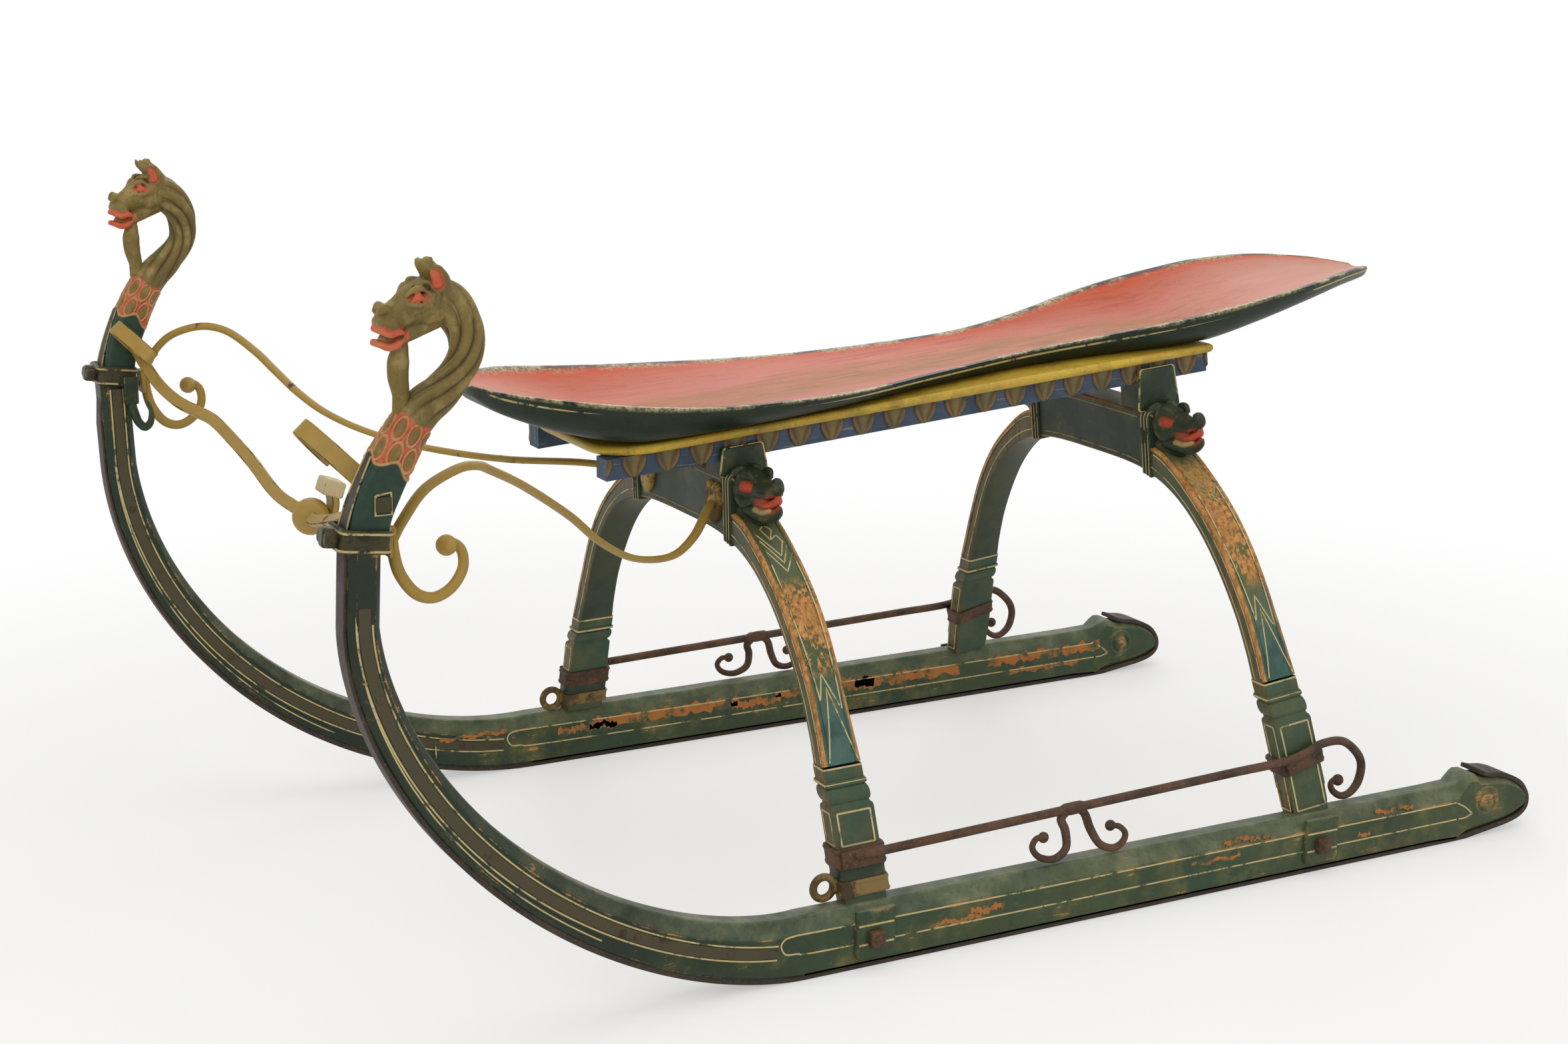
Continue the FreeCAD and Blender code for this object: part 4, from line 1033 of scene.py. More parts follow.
LIP = [(90, 822, 8), (84, 826, 11.5), (75, 824, 12.5), (67, 828, 9.5), (63, 829, 0)]
LOW_LIP = [(90, 819, 8), (83, 813, 11.5), (74, 811, 12), (66, 814, 8.5), (62, 815, 0)]
EYE = [(96, 857, 16.5), (102, 860, 18.5), (108, 858, 19)]
BROW = [(91, 861, 13), (98, 868, 17), (108, 868, 19), (115, 861, 19)]
LID = [(93, 854, 15), (101, 852, 18.5), (110, 854, 19.5)]
MIDDLE_FORMS = (
    ([(150, 838, 0), (136, 851, 0), (118, 856, 0), (104, 850, 0)], [19, 21, 22, 19.5], 0.92),
    ([(118, 856, 0), (104, 852, 0), (90, 844, 0), (77, 838, 0)], [22, 20, 16.5, 14], 0.86),
    ([(124, 836, 0), (110, 829, 0), (96, 822, 0), (84, 818, 0), (74, 817, 0)],
     [12, 10.5, 9, 8, 7], 1.1),
    ([(90, 808, 0), (88, 794, 0), (88, 778, 0), (91, 760, 0), (92, 744, 0)],
     [8.5, 11.5, 11, 9, 10], 0.75),
    ([(131, 868, 0), (121, 884, 0), (116, 893, 0), (121, 895.5, 0)], [12, 8.5, 5.5, 2], 0.8),
    ([(127, 866, 3), (116, 882, 4), (107, 890, 4), (104, 896, 3)], [10, 6, 4, 1.6], 0.9),
    ([(127, 866, -3), (116, 882, -4), (109, 891, -3), (108, 896, -3)], [10, 6, 4, 1.6], 0.9))
CHEEK_FORMS = (
    ([(124, 846, 8), (114, 842, 9)], [13, 11]),
    (LIP, [3.2, 4, 4, 3.7, 3.5]), (LOW_LIP, [3.2, 4, 4, 3.6, 3.4]),
    ([(66, 846, 7.5), (70, 850, 8), (75, 848, 9.5)], [3, 5.5, 3]),
    ([(70, 835, 7), (78, 833, 9.5)], [7, 8]),
    (EYE, [1.2, 5.0, 1.2]), (BROW, [1.6, 3.2, 3.4, 1.6]), (LID, [1.2, 2.4, 1.2]),
    ([(122, 866, 19), (122, 857, 20.5), (120, 846, 21), (124, 836, 19)], [1.5, 2.2, 2.2, 1.2]),
    ([(121, 868, 18), (111, 873, 17), (102, 874, 12), (97, 868, 8)], [2.4, 3.4, 3.0, 1.4]),
    ([(132, 862, 13), (125, 876, 18), (119, 887, 21), (116, 893, 22)], [8, 9.5, 6.5, 1.5], 0.62))
clay = [limb(*form) for form in MIDDLE_FORMS]
for cheek in (list, sided):
    clay += [limb(cheek(form[0]), *form[1:]) for form in CHEEK_FORMS]
head = melted(clay, 0.0013, 3)
v = head["verts"]


def both_cheeks(points, reach):
    """Mask of a feature on both sides of the head."""
    return np.maximum(near(v, horse(points), reach), near(v, horse(sided(points)), reach))


ear_cup = both_cheeks([(121, 872, 22.5), (117, 882, 25)], 0.0058)
hollow = both_cheeks([(105, 868, 16), (110, 869, 17.5)], 0.0042)
dent = ear_cup * 0.0030 + hollow * 0.0025
v -= dent[:, None] * np.sign(v[:, :1] - (NECK_X + HEAD_LEAN * 260)) * X
lips = np.maximum(both_cheeks(LIP, 0.0050), both_cheeks(LOW_LIP, 0.0050))
slit = both_cheeks([(88, 820.5, 13), (76, 818, 14.5), (68, 821, 11)], 0.0021)
eye = both_cheeks(EYE, 0.0052) * (1 - both_cheeks(BROW, 0.003)) * (1 - both_cheeks(LID, 0.0024))
# The eye hollows and the mouth slit join the groove field, which the finish darkens as painted shade.
head.update(red=np.maximum.reduce([lips * (1 - slit), eye, ear_cup]), groove=np.maximum(hollow, slit),
            pale=0.22 * np.maximum(both_cheeks(BROW, 0.0030), both_cheeks(LID, 0.0022)))
print("head", len(v), "points")

# %% [markdown]
# The necks are gilded brown-green, almost bronze, with dark brown painted into the grooves and
# hollows as shade. Red goes on lips, eyes, ears and the ground of the leaf collar. Each colour has
# its own field on the mesh, so the material only mixes them, and noise clouds all of them a little.

# %% Finish of the carving
def carving():
    """Bronze, teal and red of the necks and horse heads, with painted shade in the grooves and
    hollows.
    """
    cloud = noise(45.0, detail=6.0, rough=0.65)
    fine = noise(260.0, detail=3.0)
    tint = mixed(noise(14.0, detail=6.0)(0.36, 0.62), (126, 106, 54), (104, 90, 46))
    tint = mixed(cloud(0.50, 0.70), tint, (152, 132, 80))
    tint = mixed(field("teal"), tint, mixed(cloud(0.40, 0.62), (30, 54, 44), (44, 66, 50)))
    tint = mixed(field("red"), tint, mixed(cloud(0.34, 0.62), (196, 76, 50), (190, 112, 78)))
    tint = mixed(field("pale") * 0.85, tint, mixed(cloud, (206, 150, 104), (196, 168, 112)))
    # Painted shade: the grooves, the eye hollows, the mouth slit and every hollow of the carving go
    # dark brown.
    tint = mixed((field("groove") | hollows(0.43, 0.495)) * 0.85, tint, (56, 42, 22))
    tint = mixed(fine(0.60, 0.70) * 0.3, tint, (48, 40, 24))
    return tint, cloud.between(0.34, 0.60), cloud + fine * 0.3


carved = finish("carved_bronze", carving, 0.0007)
pair("horse_neck", [neck], carved, "carved_neck")
pair("horse_head", [head], carved, "carved_neck", ADDED)

# %% [markdown]
# Small irons sit on the neck's foot: a square nut in a painted frame on the outer face, and
# cream lines beside the front strap.

# %% Details of the neck's foot
FRAME = ((58, 662), (74, 664), (75, 641), (58, 641), (58, 662))


def neck_foot(points, lift):
    """Places on the neck foot's outer face, lifted off it by millimetres."""
    return horse([(s, z, NECK_WIDE / 2 * 1000 + lift) for s, z in points])


nut = block(neck_foot([(66, 652)], 2.0)[0], (0.006, 0.016, 0.016), 0.0016)
foot_lines = [painted(neck_foot(FRAME, 0.6), X, 0.0024, 0.0008)]
k = np.linspace(0, 1, 10)
climb = (18 + 78 * k) / 96
for side_x in (-0.0135, 0.0135):
    path = xyz(NECK_X + HEAD_LEAN * 96 * climb + side_x * (1 - 0.45 * k),
               at(27.3 + STRAP_LEAN * climb ** 1.5), NECK_Z + 0.096 * climb)
    foot_lines.append(painted(path, -Y, 0.0026, 0.0006))
pair("neck_nut", [nut], clamp_iron, "iron", ADDED)
pair("neck_foot_lines", foot_lines, cream_on_dark, "carved_neck", ADDED)
print("necks ready")

# %% [markdown]
# Two arched stands carry the seat. Each is one bent plank: flat crown, long shoulders, nearly
# upright legs. Its underside drops with the power 3.7 of the distance from the middle. The
# crown and its bar are one carved beam here; the legs are surfaces along the same contour.

# %% Arched stands: contour
ARCH_HALF, ARCH_POWER, PLANK_THICK, BEAM_ABOVE = 0.404, 3.7, 0.028, 0.048
BEAM_HALF, LEG_END, SHOULDER_EXTRA, BLOCK_OUT = 0.150, 0.150, 0.012, 0.006
STANDS = {"front": (685, 0.465, 1.2), "rear": (1355, 0.492, 5.5)}
FOOT_SCALE = {"front": 1.0, "rear": 1.10}
WIDE_TABLE = ((0, 0.3, 0.55, 0.75, 0.9, 1.0), (0.052, 0.052, 0.0495, 0.0465, 0.0485, 0.052))


def arch(x, top, offset=0.0):
    """Arch contour at a distance x from the middle, moved out along its normal."""
    drop = (top - RUNNER_DEEP) * np.abs(x / ARCH_HALF) ** ARCH_POWER
    slope = ARCH_POWER * drop / np.maximum(np.abs(x), 1e-6)
    sink = 1 / np.hypot(slope, 1)
    return np.stack([x + offset * slope * sink, top - drop + offset * sink], -1)


def plank_x(z, top):
    """Middle of the left leg at a height: the arch solved for x, plus half the plank."""
    share = (top - z) / (top - RUNNER_DEEP)
    return ARCH_HALF * share ** (1 / ARCH_POWER) + PLANK_THICK / 2


def foot_x(z, top):
    """Middle of the left foot, which stands a little further out than the plank."""
    return plank_x(z, top) + BLOCK_OUT


def beam_top(name):
    """Height of a beam's top before the stand is leaned."""
    return STANDS[name][1] + PLANK_THICK + BEAM_ABOVE


def leaned(shells, name):
    """Tip a stand's shells forward about the line of its feet."""
    station, _, degrees = STANDS[name]
    return tipped(shells, (0, at(station), RUNNER_DEEP), degrees)


def leg_frame(name):
    """Rows down the leg, from the beam's end to the foot: inner and outer contour points,
    spaced by travel instead of by x. The plank is thicker under the beast head."""
    top = STANDS[name][1]
    x = BEAM_HALF - 0.012 + (ARCH_HALF - BEAM_HALF + 0.012) * np.linspace(0, 1, 400)
    thick = PLANK_THICK + SHOULDER_EXTRA * np.exp(-((x - BEAM_HALF) / 0.045) ** 2)
    inner, outer = arch(x, top), arch(x, top, thick)
    travel = np.concatenate([[0], np.cumsum(np.linalg.norm(np.diff(inner, axis=0), axis=1))])
    low = inner[:, 1] < RUNNER_DEEP + (LEG_END - 0.004) * FOOT_SCALE[name]
    pick = np.linspace(0, travel[np.argmax(low)], 60)
    return [np.stack([np.interp(pick, travel, line[:, k]) for k in (0, 1)], 1)
            for line in (inner, outer)]


def leg_wide(share):
    """Width along the sleigh, read from a table: waisted below the middle."""
    return np.interp(share, *WIDE_TABLE)


def leg_point(name, share, across, depth):
    """Places on a leg: share of the way down, -1..1 across it, 0 inner to 1 outer face."""
    inner, outer = leg_frame(name)
    rows = np.linspace(0, 1, len(inner))
    x, z = [np.interp(share, rows, values) for values in (inner + (outer - inner) * depth).T]
    return xyz(x, at(STANDS[name][0]) + across * leg_wide(share) / 2, z)


def leg_normal(name, share):
    """Outward normal of the leg's outer face."""
    inner, outer = leg_frame(name)
    rows = np.linspace(0, 1, len(inner))
    x, z = [np.interp(share, rows, values) for values in unit(outer - inner).T]
    return unit(xyz(x, 0, z))


print("leg leaves the beam at", leg_frame("front")[1][0].round(3))

# %% [markdown]
# The leg's outer corners are planed to beads: a fine groove on each side sets a small round
# off from the faces. The section is a list of offsets from the corner, so the beads keep
# their size while the leg's width changes.

# %% Arched stands: section of a leg
BEAD = 0.0036
quarter = np.linspace(np.pi / 2, 0, 6)
CORNER = np.vstack([[(-0.0100, 0), (-0.0092, -0.0012), (-0.0080, -0.0013), (-0.0072, -0.0002)],
                    np.stack([BEAD * (np.cos(quarter) - 1), BEAD * (np.sin(quarter) - 1)], 1),
                    [(-0.0002, -0.0072), (-0.0013, -0.0080), (-0.0012, -0.0092), (0, -0.0100)]])
INNER_CORNER = np.array([(0, 0.0030), (-0.0009, 0.0009), (-0.0030, 0)])
HALF_RUB = np.concatenate([[0, 0, 0, 0.2], np.ones(6), [0.2, 0, 0, 0, 0.4, 0.4, 0.4]])
HALF_NARROW = np.concatenate([np.zeros(10), np.ones(5), [0.5, 0]])
HALF_OUTER = np.concatenate([np.ones(9), np.linspace(1, 0, 4), np.zeros(4)])
LEG_RUB, LEG_NARROW, LEG_OUTER = [np.concatenate([half, half[::-1]])
                                  for half in (HALF_RUB, HALF_NARROW, HALF_OUTER)]


def leg_section(wide, thick):
    """Ring (along the sleigh, outward) with beads at both outer corners. Its points answer to
    the rub, and to the marks for narrow and outer faces, above."""
    a, b = wide / 2, thick / 2
    half = np.vstack([CORNER + (a, b), INNER_CORNER + (a, -b)])
    return np.vstack([half, half[::-1] * (-1, 1)])


# %% [markdown]
# Below the plank, every foot steps through a flat band, a fine bead and a hollowed ring to a
# long leaning block. It is a stack of soft rectangles whose half sizes come from a table,
# and each one's middle follows the line of the leg.

# %% Arched stands: legs and feet
arc = np.linspace(0, np.pi, 9)
ring_rows = [(121 - 8 * np.cos(a), 26.0 + 3.0 * np.sin(a), 12.6 + 2.8 * np.sin(a)) for a in arc]
bead_rows = [(133.5 - 3 * np.cos(a), 26.6 + 1.8 * np.sin(a), 14.0 + 1.8 * np.sin(a)) for a in arc]
FOOT = np.array([(-2.5, 27.5, 13.6), (6.0, 28.0, 13.8), (9.0, 28.6, 14.2), (26.0, 28.8, 14.4),
                 (28.0, 29.6, 15.0), (105.5, 29.6, 15.0), (108.5, 28.8, 14.4), (110.0, 26.6, 13.0),
                 (112.0, 26.2, 12.7)] + ring_rows + [(129.6, 26.0, 13.4)] + bead_rows
                + [(137.0, 26.5, 14.3), (148.0, 26.5, 14.4), (150.0, 26.0, 14.0)]) / 1000


def make_leg(name):
    """Left leg: its section on a row of frames along the bent plank."""
    inner, outer = leg_frame(name)
    share = np.linspace(0, 1, len(inner))
    across, thick = unit(outer - inner), np.linalg.norm(outer - inner, axis=1)
    ring = np.array([leg_section(leg_wide(s), t) for s, t in zip(share, thick)])
    x, z = [(inner[:, k, None] + outer[:, k, None]) / 2 + ring[..., 1] * across[:, k, None]
            for k in (0, 1)]
    shape = np.ones(ring.shape[:2])
    return tagged(skin(xyz(x, at(STANDS[name][0]) + ring[..., 0], z), LEG_RUB),
                  narrow=shape * LEG_NARROW, outer=shape * LEG_OUTER, down=shape * share[:, None])


def make_foot(name):
    """Left foot: soft rectangles, each centred on the line of the leg at its height."""
    station, top, _ = STANDS[name]
    z = RUNNER_DEEP + FOOT[:, 0] * FOOT_SCALE[name]
    middle = plank_x(z, top) + BLOCK_OUT * rising(-FOOT[:, 0], -0.136, 0.026)
    rings, rubs = [], []
    for height, x, (_, half_y, half_x) in zip(z, middle, FOOT):
        ring, rub = rectangle(half_y, half_x, 0.0026, 5)
        rings.append(xyz(x + ring[:, 1], at(station) + ring[:, 0], height))
        rubs.append(rub)
    shape = np.ones(np.shape(rubs))
    narrow = shape * (np.abs(rings[5][:, 1] - at(station)) > 0.0285)
    return tagged(skin(rings, np.array(rubs) * 0.7), narrow=narrow, outer=shape, down=shape * 2)


for name in STANDS:
    pair("post_" + name, leaned([make_leg(name), make_foot(name)], name), leg_paint[name])

# %% [markdown]
# The crossbeam is the arch's crown with a bar on it. Near each end it wears a collar of
# three thin ribs that run up its faces and over its rounded top.

# %% Crossbeams
RIBS = (0.1305, 0.1375, 0.1445)
BEAM_THICK, RIB_HALF = 0.050, 0.0026


def beam_outline(x, name, grow=0.0, shoulder=0.004):
    """Section of a beam at a distance from the middle, and how much its corners rub."""
    station, top, _ = STANDS[name]
    a, low, high = BEAM_THICK / 2 + grow, arch(np.array([x]), top)[0, 1] - grow, beam_top(name) + grow
    ring, rub = outline([(-a, low), (a, low), (a, high), (-a, high)],
                        [0.004, 0.004, shoulder, shoulder], 7)
    return xyz(x, at(station) + ring[:, 0], ring[:, 1]), rub


for name, (station, top, _) in STANDS.items():
    rings, rubs = zip(*[beam_outline(x, name) for x in np.linspace(-BEAM_HALF, BEAM_HALF, 61)])
    beam, rib_lines = [skin(rings, np.array(rubs) * 0.7)], []
    for sign in SIDES:
        for reach in RIBS:
            beam.append(skin([beam_outline(sign * (reach + RIB_HALF * np.cos(a)), name,
                                           0.0006 + 0.0030 * np.sin(a), 0.012)[0]
                              for a in np.linspace(0, np.pi, 9)], 0.15))
            path = np.roll(beam_outline(sign * reach, name, 0.0037, 0.012)[0], -1, 0)
            face = unit((path - (sign * reach, at(station), top + 0.03)) * (0, 1, 0.6))
            rib_lines.append(painted(path, face, 0.0014, 0.0002, 0.0005))
    piece("crossbeam_" + name, leaned(beam, name), beam_green)
    piece("collar_lines_" + name, leaned(rib_lines, name), cream_on_dark, "green_wood", ADDED)
    print(name, "stand: beam top", round(beam_top(name), 3))

# %% [markdown]
# Cream lines edge every face of the legs and beams. Down the outer face of a leg runs a
# panel that starts in nested leaves and ends in a zigzag, and under it stands a tall pointed
# gable. All are brushed lines whose points are shares of the leg's own length and width.

# %% Painted ornament of the stands
LEAVES = (((0.135, -0.66), (0.235, 0.10), (0.175, 0.52)),
          ((0.165, -0.62), (0.265, 0.06), (0.195, 0.62)),
          ((0.205, -0.60), (0.300, 0.02), (0.230, 0.70)),
          ((0.120, -0.30), (0.100, -0.02), (0.125, 0.26)),
          ((0.120, -0.30), (0.165, -0.04), (0.125, 0.26)),
          ((0.165, -0.04), (0.150, 0.34), (0.185, 0.56)))
PANEL_LEFT = ((0.265, -0.62), (0.460, -0.70), (0.775, -0.52), (0.680, -0.12), (0.800, 0.50))
PANEL_RIGHT = ((0.245, 0.68), (0.460, 0.72), (0.740, 0.64), (0.810, 0.60))
GABLE = ((0.990, -0.66), (0.730, -0.02), (0.990, 0.84))
STROKE = {"front": (0.0018, 0.0016), "rear": (0.0042, 0.0020)}
LEAF_PAINT = {"front": cream_on_olive, "rear": chevron_paint}
PANEL_LOW, PANEL_HIGH = {"front": 0.066, "rear": 0.005}, 0.103


def on_leg(name, corners, wide):
    """Brushed line through corners (share down, share across) on the outer face."""
    t = np.linspace(0, len(corners) - 1, 10 * (len(corners) - 1) + 1)
    share, across = [np.interp(t, np.arange(len(corners)), row) for row in np.transpose(corners)]
    return painted(leg_point(name, share, across, 1.0), leg_normal(name, share), wide)


def foot_panel(name):
    """Rectangles brushed on the outer, front and back faces of a foot block."""
    station, top, _ = STANDS[name]
    low, high = PANEL_LOW[name], PANEL_HIGH
    shells = []
    for half, out, sign in ((0.0225, 0.0151, 0), (0.0095, 0.0297, -1), (0.0095, 0.0297, 1)):
        loop = [(-half, low), (half, low), (half, high), (-half, high), (-half, low)]
        for start, end in zip(loop, loop[1:]):
            aside, height = np.linspace(start, end, 8).T
            z = RUNNER_DEEP + height * FOOT_SCALE[name]
            if sign:
                path = xyz(foot_x(z, top) + aside, at(station) + sign * out, z)
                shells.append(painted(path, sign * Y, 0.0018))
            else:
                path = xyz(foot_x(z, top) + out, at(station) + aside, z)
                shells.append(painted(path, X, 0.0022))
    return shells


for name, (station, top, _) in STANDS.items():
    lines = []
    share = np.linspace(0.02, 0.985, 44)
    for depth in (0.30, 0.78):
        for sign in (-1, 1):
            path = leg_point(name, share, sign, depth) + sign * 0.0001 * Y
            lines.append(painted(path, sign * Y, 0.0015))
    lines += [on_leg(name, corners, 0.0017) for corners in (PANEL_LEFT, PANEL_RIGHT, GABLE)]
    for height, grow in ((0.1505, 0.0), (0.1335, 0.0018)):
        z = RUNNER_DEEP + height * FOOT_SCALE[name]
        loop = rectangle(0.0265 + grow, 0.0142 + grow, 0.003, 5)[0]
        y, x = np.vstack([loop, loop[:1]]).T
        lines.append(painted(xyz(plank_x(z, top) + x, at(station) + y, z), unit(xyz(x * 2.2, y, 0)),
                             0.0024, 0.0003, 0.0006))
    lines += foot_panel(name)
    x = np.linspace(-0.118, 0.118, 30)
    for sign in SIDES:
        for z in (beam_top(name) - 0.008, arch(x, top)[:, 1] + 0.009):
            lines.append(painted(xyz(x, at(station) + sign * 0.0251, z), sign * Y, 0.0018))
    pair("post_lines_" + name, leaned(lines, name), cream_on_olive, "green_wood", ADDED)
    leaves = [on_leg(name, corners, STROKE[name]) for corners in LEAVES]
    pair("post_leaves_" + name, leaned(leaves, name), LEAF_PAINT[name], "green_wood", ADDED)
print("stands ready")

# %% [markdown]
# The seat is a shallow boat of wood, broad at the back, waisted before it, with both ends
# turned up. Its hull and dish are one closed surface: each ring runs along the hull from rim
# to rim and back through the dish. The rows are the frame's own, made smooth.

# %% Seat shell
SEAT_START, SEAT_LONG, SEAT_HALF, SEAT_DEPTH, RIM_WIDE = 360, 1.390, 0.172, 0.046, 0.0085
DISH_MIDDLE_Y, BAND_MIDDLE_X = 0.13, 0.012
SEAT_ROWS = ((0.0, 0.17, 1.81, 1.51), (0.018, 0.48, 1.71, 1.06), (0.065, 0.81, 1.48, 0.48),
             (0.130, 0.96, 1.12, 0.0), (0.209, 1.0, 0.80, 0.0), (0.331, 0.87, 0.51, 0.0),
             (0.432, 0.69, 0.47, 0.0), (0.540, 0.57, 0.52, 0.0), (0.620, 0.65, 0.66, 0.0),
             (0.692, 0.81, 0.85, 0.0), (0.742, 0.87, 1.0, 0.0), (0.800, 0.88, 1.16, 0.29),
             (0.865, 0.83, 1.31, 0.65), (0.922, 0.65, 1.33, 0.81), (0.973, 0.38, 1.16, 0.77),
             (1.0, 0.15, 0.97, 0.71))
BASE_FRONT, BASE_REAR, BASE_FRONT_Z, BASE_REAR_Z, BASE_THICK = 492, 1392, 0.574, 0.638, 0.012


def base_under(station):
    """Height of the base's underside at a station in millimetres."""
    share = (station - BASE_FRONT) / (BASE_REAR - BASE_FRONT)
    return BASE_FRONT_Z + (BASE_REAR_Z - BASE_FRONT_Z) * share


place, wide, rim, low = smooth(SEAT_ROWS, 9).T[..., None]
station = SEAT_START + place * SEAT_LONG * 1000
base = base_under(station) + BASE_THICK + 0.0005
seat_wide = wide * SEAT_HALF
seat_rim, seat_low = base + rim * SEAT_DEPTH, base + np.maximum(low, 0) * SEAT_DEPTH
hull, dish = np.sin(np.pi / 2 * np.linspace(-1, 1, 33)), np.linspace(1, -1, 41)
hull_high = 1 - (1 - np.abs(hull) ** 9) ** 0.65
hull_x = seat_wide * np.sign(hull) * np.abs(hull) ** 0.85
hull_z = seat_rim + (seat_low - seat_rim) * (1 - hull_high)
depth = np.maximum(seat_rim - seat_low - 0.011, 0.003)
dish_x = np.maximum(seat_wide - RIM_WIDE, 0.004) * dish
dish_z = seat_rim - depth * (1 - np.abs(dish) ** 2.6)
ring_x = np.concatenate([hull_x, dish_x], 1)
rings = xyz(ring_x, at(station), np.concatenate([hull_z, dish_z], 1))
in_dish = np.concatenate([0 * hull, rising(-np.abs(dish), -0.995, 0.02)])
on_rim = rising(np.concatenate([hull_high, np.abs(dish)]), 0.93, 0.05)
across = np.concatenate([0 * hull, dish])
seat = tagged(skin(rings), dish=in_dish + 0 * ring_x, rim=on_rim + 0 * ring_x,
              across=across + 0 * ring_x)


def seat_paint():
    """Red dish, rubbed tan in a band where riders sat, with a chipped pale rim on a
    blackish hull. The band lies along the near side of the middle."""
    cloud = noise(22.0, (1, 0.6, 1), 6.0, 0.65)
    streak = noise(3.0, (40, 2.2, 40), 6.0, 0.7)
    fine = noise(220.0, detail=3.0)
    red = mixed(noise(4.0, (1, 0.45, 1), 6.0)(0.38, 0.62), (196, 98, 68), (180, 84, 54))
    red = mixed(streak(0.52, 0.64), red, (174, 72, 42))
    from_middle = abs(split(here(), 1) - DISH_MIDDLE_Y)
    pink = mixed(cloud, (208, 152, 130), (190, 122, 98))
    red = mixed(from_middle(0.42, 0.66) * 0.75, red, pink)
    band_x = abs(split(here(), 0) - BAND_MIDDLE_X)
    rubbed = (band_x + cloud * 0.10)(0.125, 0.09) * from_middle(0.56, 0.34) * streak(0.34, 0.56)
    red = mixed(rubbed * 0.8, red, mixed(cloud(0.4, 0.6), (170, 126, 86), (146, 116, 78)))
    red = mixed(abs(field("across"))(0.80, 0.93) * 0.75, red, (198, 78, 44))
    tint = mixed(field("dish"), mixed(cloud(0.42, 0.62), (24, 38, 24), (36, 46, 34)), red)
    cream = mixed(fine(0.4, 0.6), (204, 186, 140), (98, 102, 74))
    tint = mixed(field("rim") * cloud(0.44, 0.52), tint, cream)
    tint = mixed(fine(0.60, 0.70) * 0.25, tint, (80, 50, 36))
    return tint, rubbed.between(0.42, 0.60), streak + fine * 0.2


piece("seat_shell", [seat], finish("seat_red", seat_paint), "seat_red")
line_z = seat_rim - (seat_rim - seat_low) * 0.26
hull_lines = [painted(xyz(sign * seat_wide * 0.975, at(station), line_z)[4:-4, 0],
                      unit([sign, 0, -0.35]), 0.0026, 0.0016, 0.002) for sign in SIDES]
piece("hull_lines", hull_lines, cream_on_dark, "seat_red", ADDED)

# %% [markdown]
# Under the hull lies a board with a glossy half-round edge, on two blue rails. The rails
# hang with carved half rosettes, which are only a relief in the rail's outer face.

# %% Base, moulding and rails
BASE_HALF, BASE_CORNER = 0.132, 0.070
RAIL_OUT, RAIL_THICK, RAIL_HIGH, ROSETTE_STEP = 0.124, 0.030, 0.027, 0.046

rings = []
for a in np.linspace(-np.pi / 2, np.pi / 2, 13):
    grow = 0.0055 * np.cos(a) - 0.002
    half, front, rear = BASE_HALF + grow, at(BASE_FRONT) - grow, at(BASE_REAR) + grow
    x, y = outline([(-half, rear), (-half, front), (half, front), (half, rear)],
                   [0.004, BASE_CORNER, BASE_CORNER, 0.004], 12)[0].T
    rings.append(xyz(x, y, base_under((y - FRONT) * 1000) + BASE_THICK * (0.5 + 0.5 * np.sin(a))))
piece("seat_base", [skin(rings)], moulding_yellow, "yellow_wood")

along, face = np.linspace(BASE_FRONT, BASE_REAR, 620)[:, None], np.linspace(0, 1, 22)
u = (((along / 1000) % ROSETTE_STEP) / ROSETTE_STEP - 0.5) * ROSETTE_STEP
from_foot = RAIL_HIGH * 1.02 - face * RAIL_HIGH
high = from_foot / RAIL_HIGH
widest = 0.0200 * np.sqrt(np.clip(high, 0, 1)) * (1.06 - 0.25 * high ** 3)
fan = rising(widest - np.abs(u), 0, 0.0012)
rib = np.abs(np.cos(4.2 * np.arctan2(u, from_foot + 0.0035)))
relief = fan * (0.0010 + 0.0024 * rib * rising(np.hypot(u, from_foot), 0, 0.014))
groove = fan * (1 - rib) ** 1.5 + swell(np.abs(u) - widest, 0.0016)


def round_rail(values, first, last):
    """Ring values: first above the outer face, the face's own, then last three: below it and
    twice on the inner face."""
    ends = np.ones((len(along), 1))
    return np.concatenate([ends * first, values + 0 * u, ends * last], 1)


rings = xyz(round_rail(RAIL_OUT + relief, RAIL_OUT,
                       [[RAIL_OUT, RAIL_OUT - RAIL_THICK, RAIL_OUT - RAIL_THICK]]), at(along),
            base_under(along) - round_rail(face * RAIL_HIGH, 0, [[RAIL_HIGH, RAIL_HIGH, 0]]))
rail = tagged(skin(rings), fan=round_rail(fan, 0, [[0, 0, 0]]),
              groove=round_rail(groove, 0, [[0, 0, 0]]))


def rail_paint():
    """Blue ground; the fans are brown-olive with red-brown grooves."""
    cloud, streak = noise(30.0, detail=6.0), noise(3.0, (60, 5, 60), 5.0)
    blue = mixed(cloud(0.38, 0.62), (66, 82, 102), (50, 66, 84))
    blue = mixed(streak(0.58, 0.66), blue, (110, 112, 104))
    tint = mixed(field("fan"), blue, mixed(cloud(0.42, 0.60), (120, 104, 62), (92, 92, 62)))
    return mixed(field("groove") * 0.8, tint, (84, 44, 30)), 0.5, cloud + streak


pair("seat_rail", [rail], finish("rail_paint", rail_paint), "blue_wood")
print("seat ready")

# %% [markdown]
# A beast head looks out over each shoulder of the stands: open jaws with a red tongue, a
# curled nose and a red eye hollow. It is melted together like the horse heads, once for each
# stand, and mirrored.

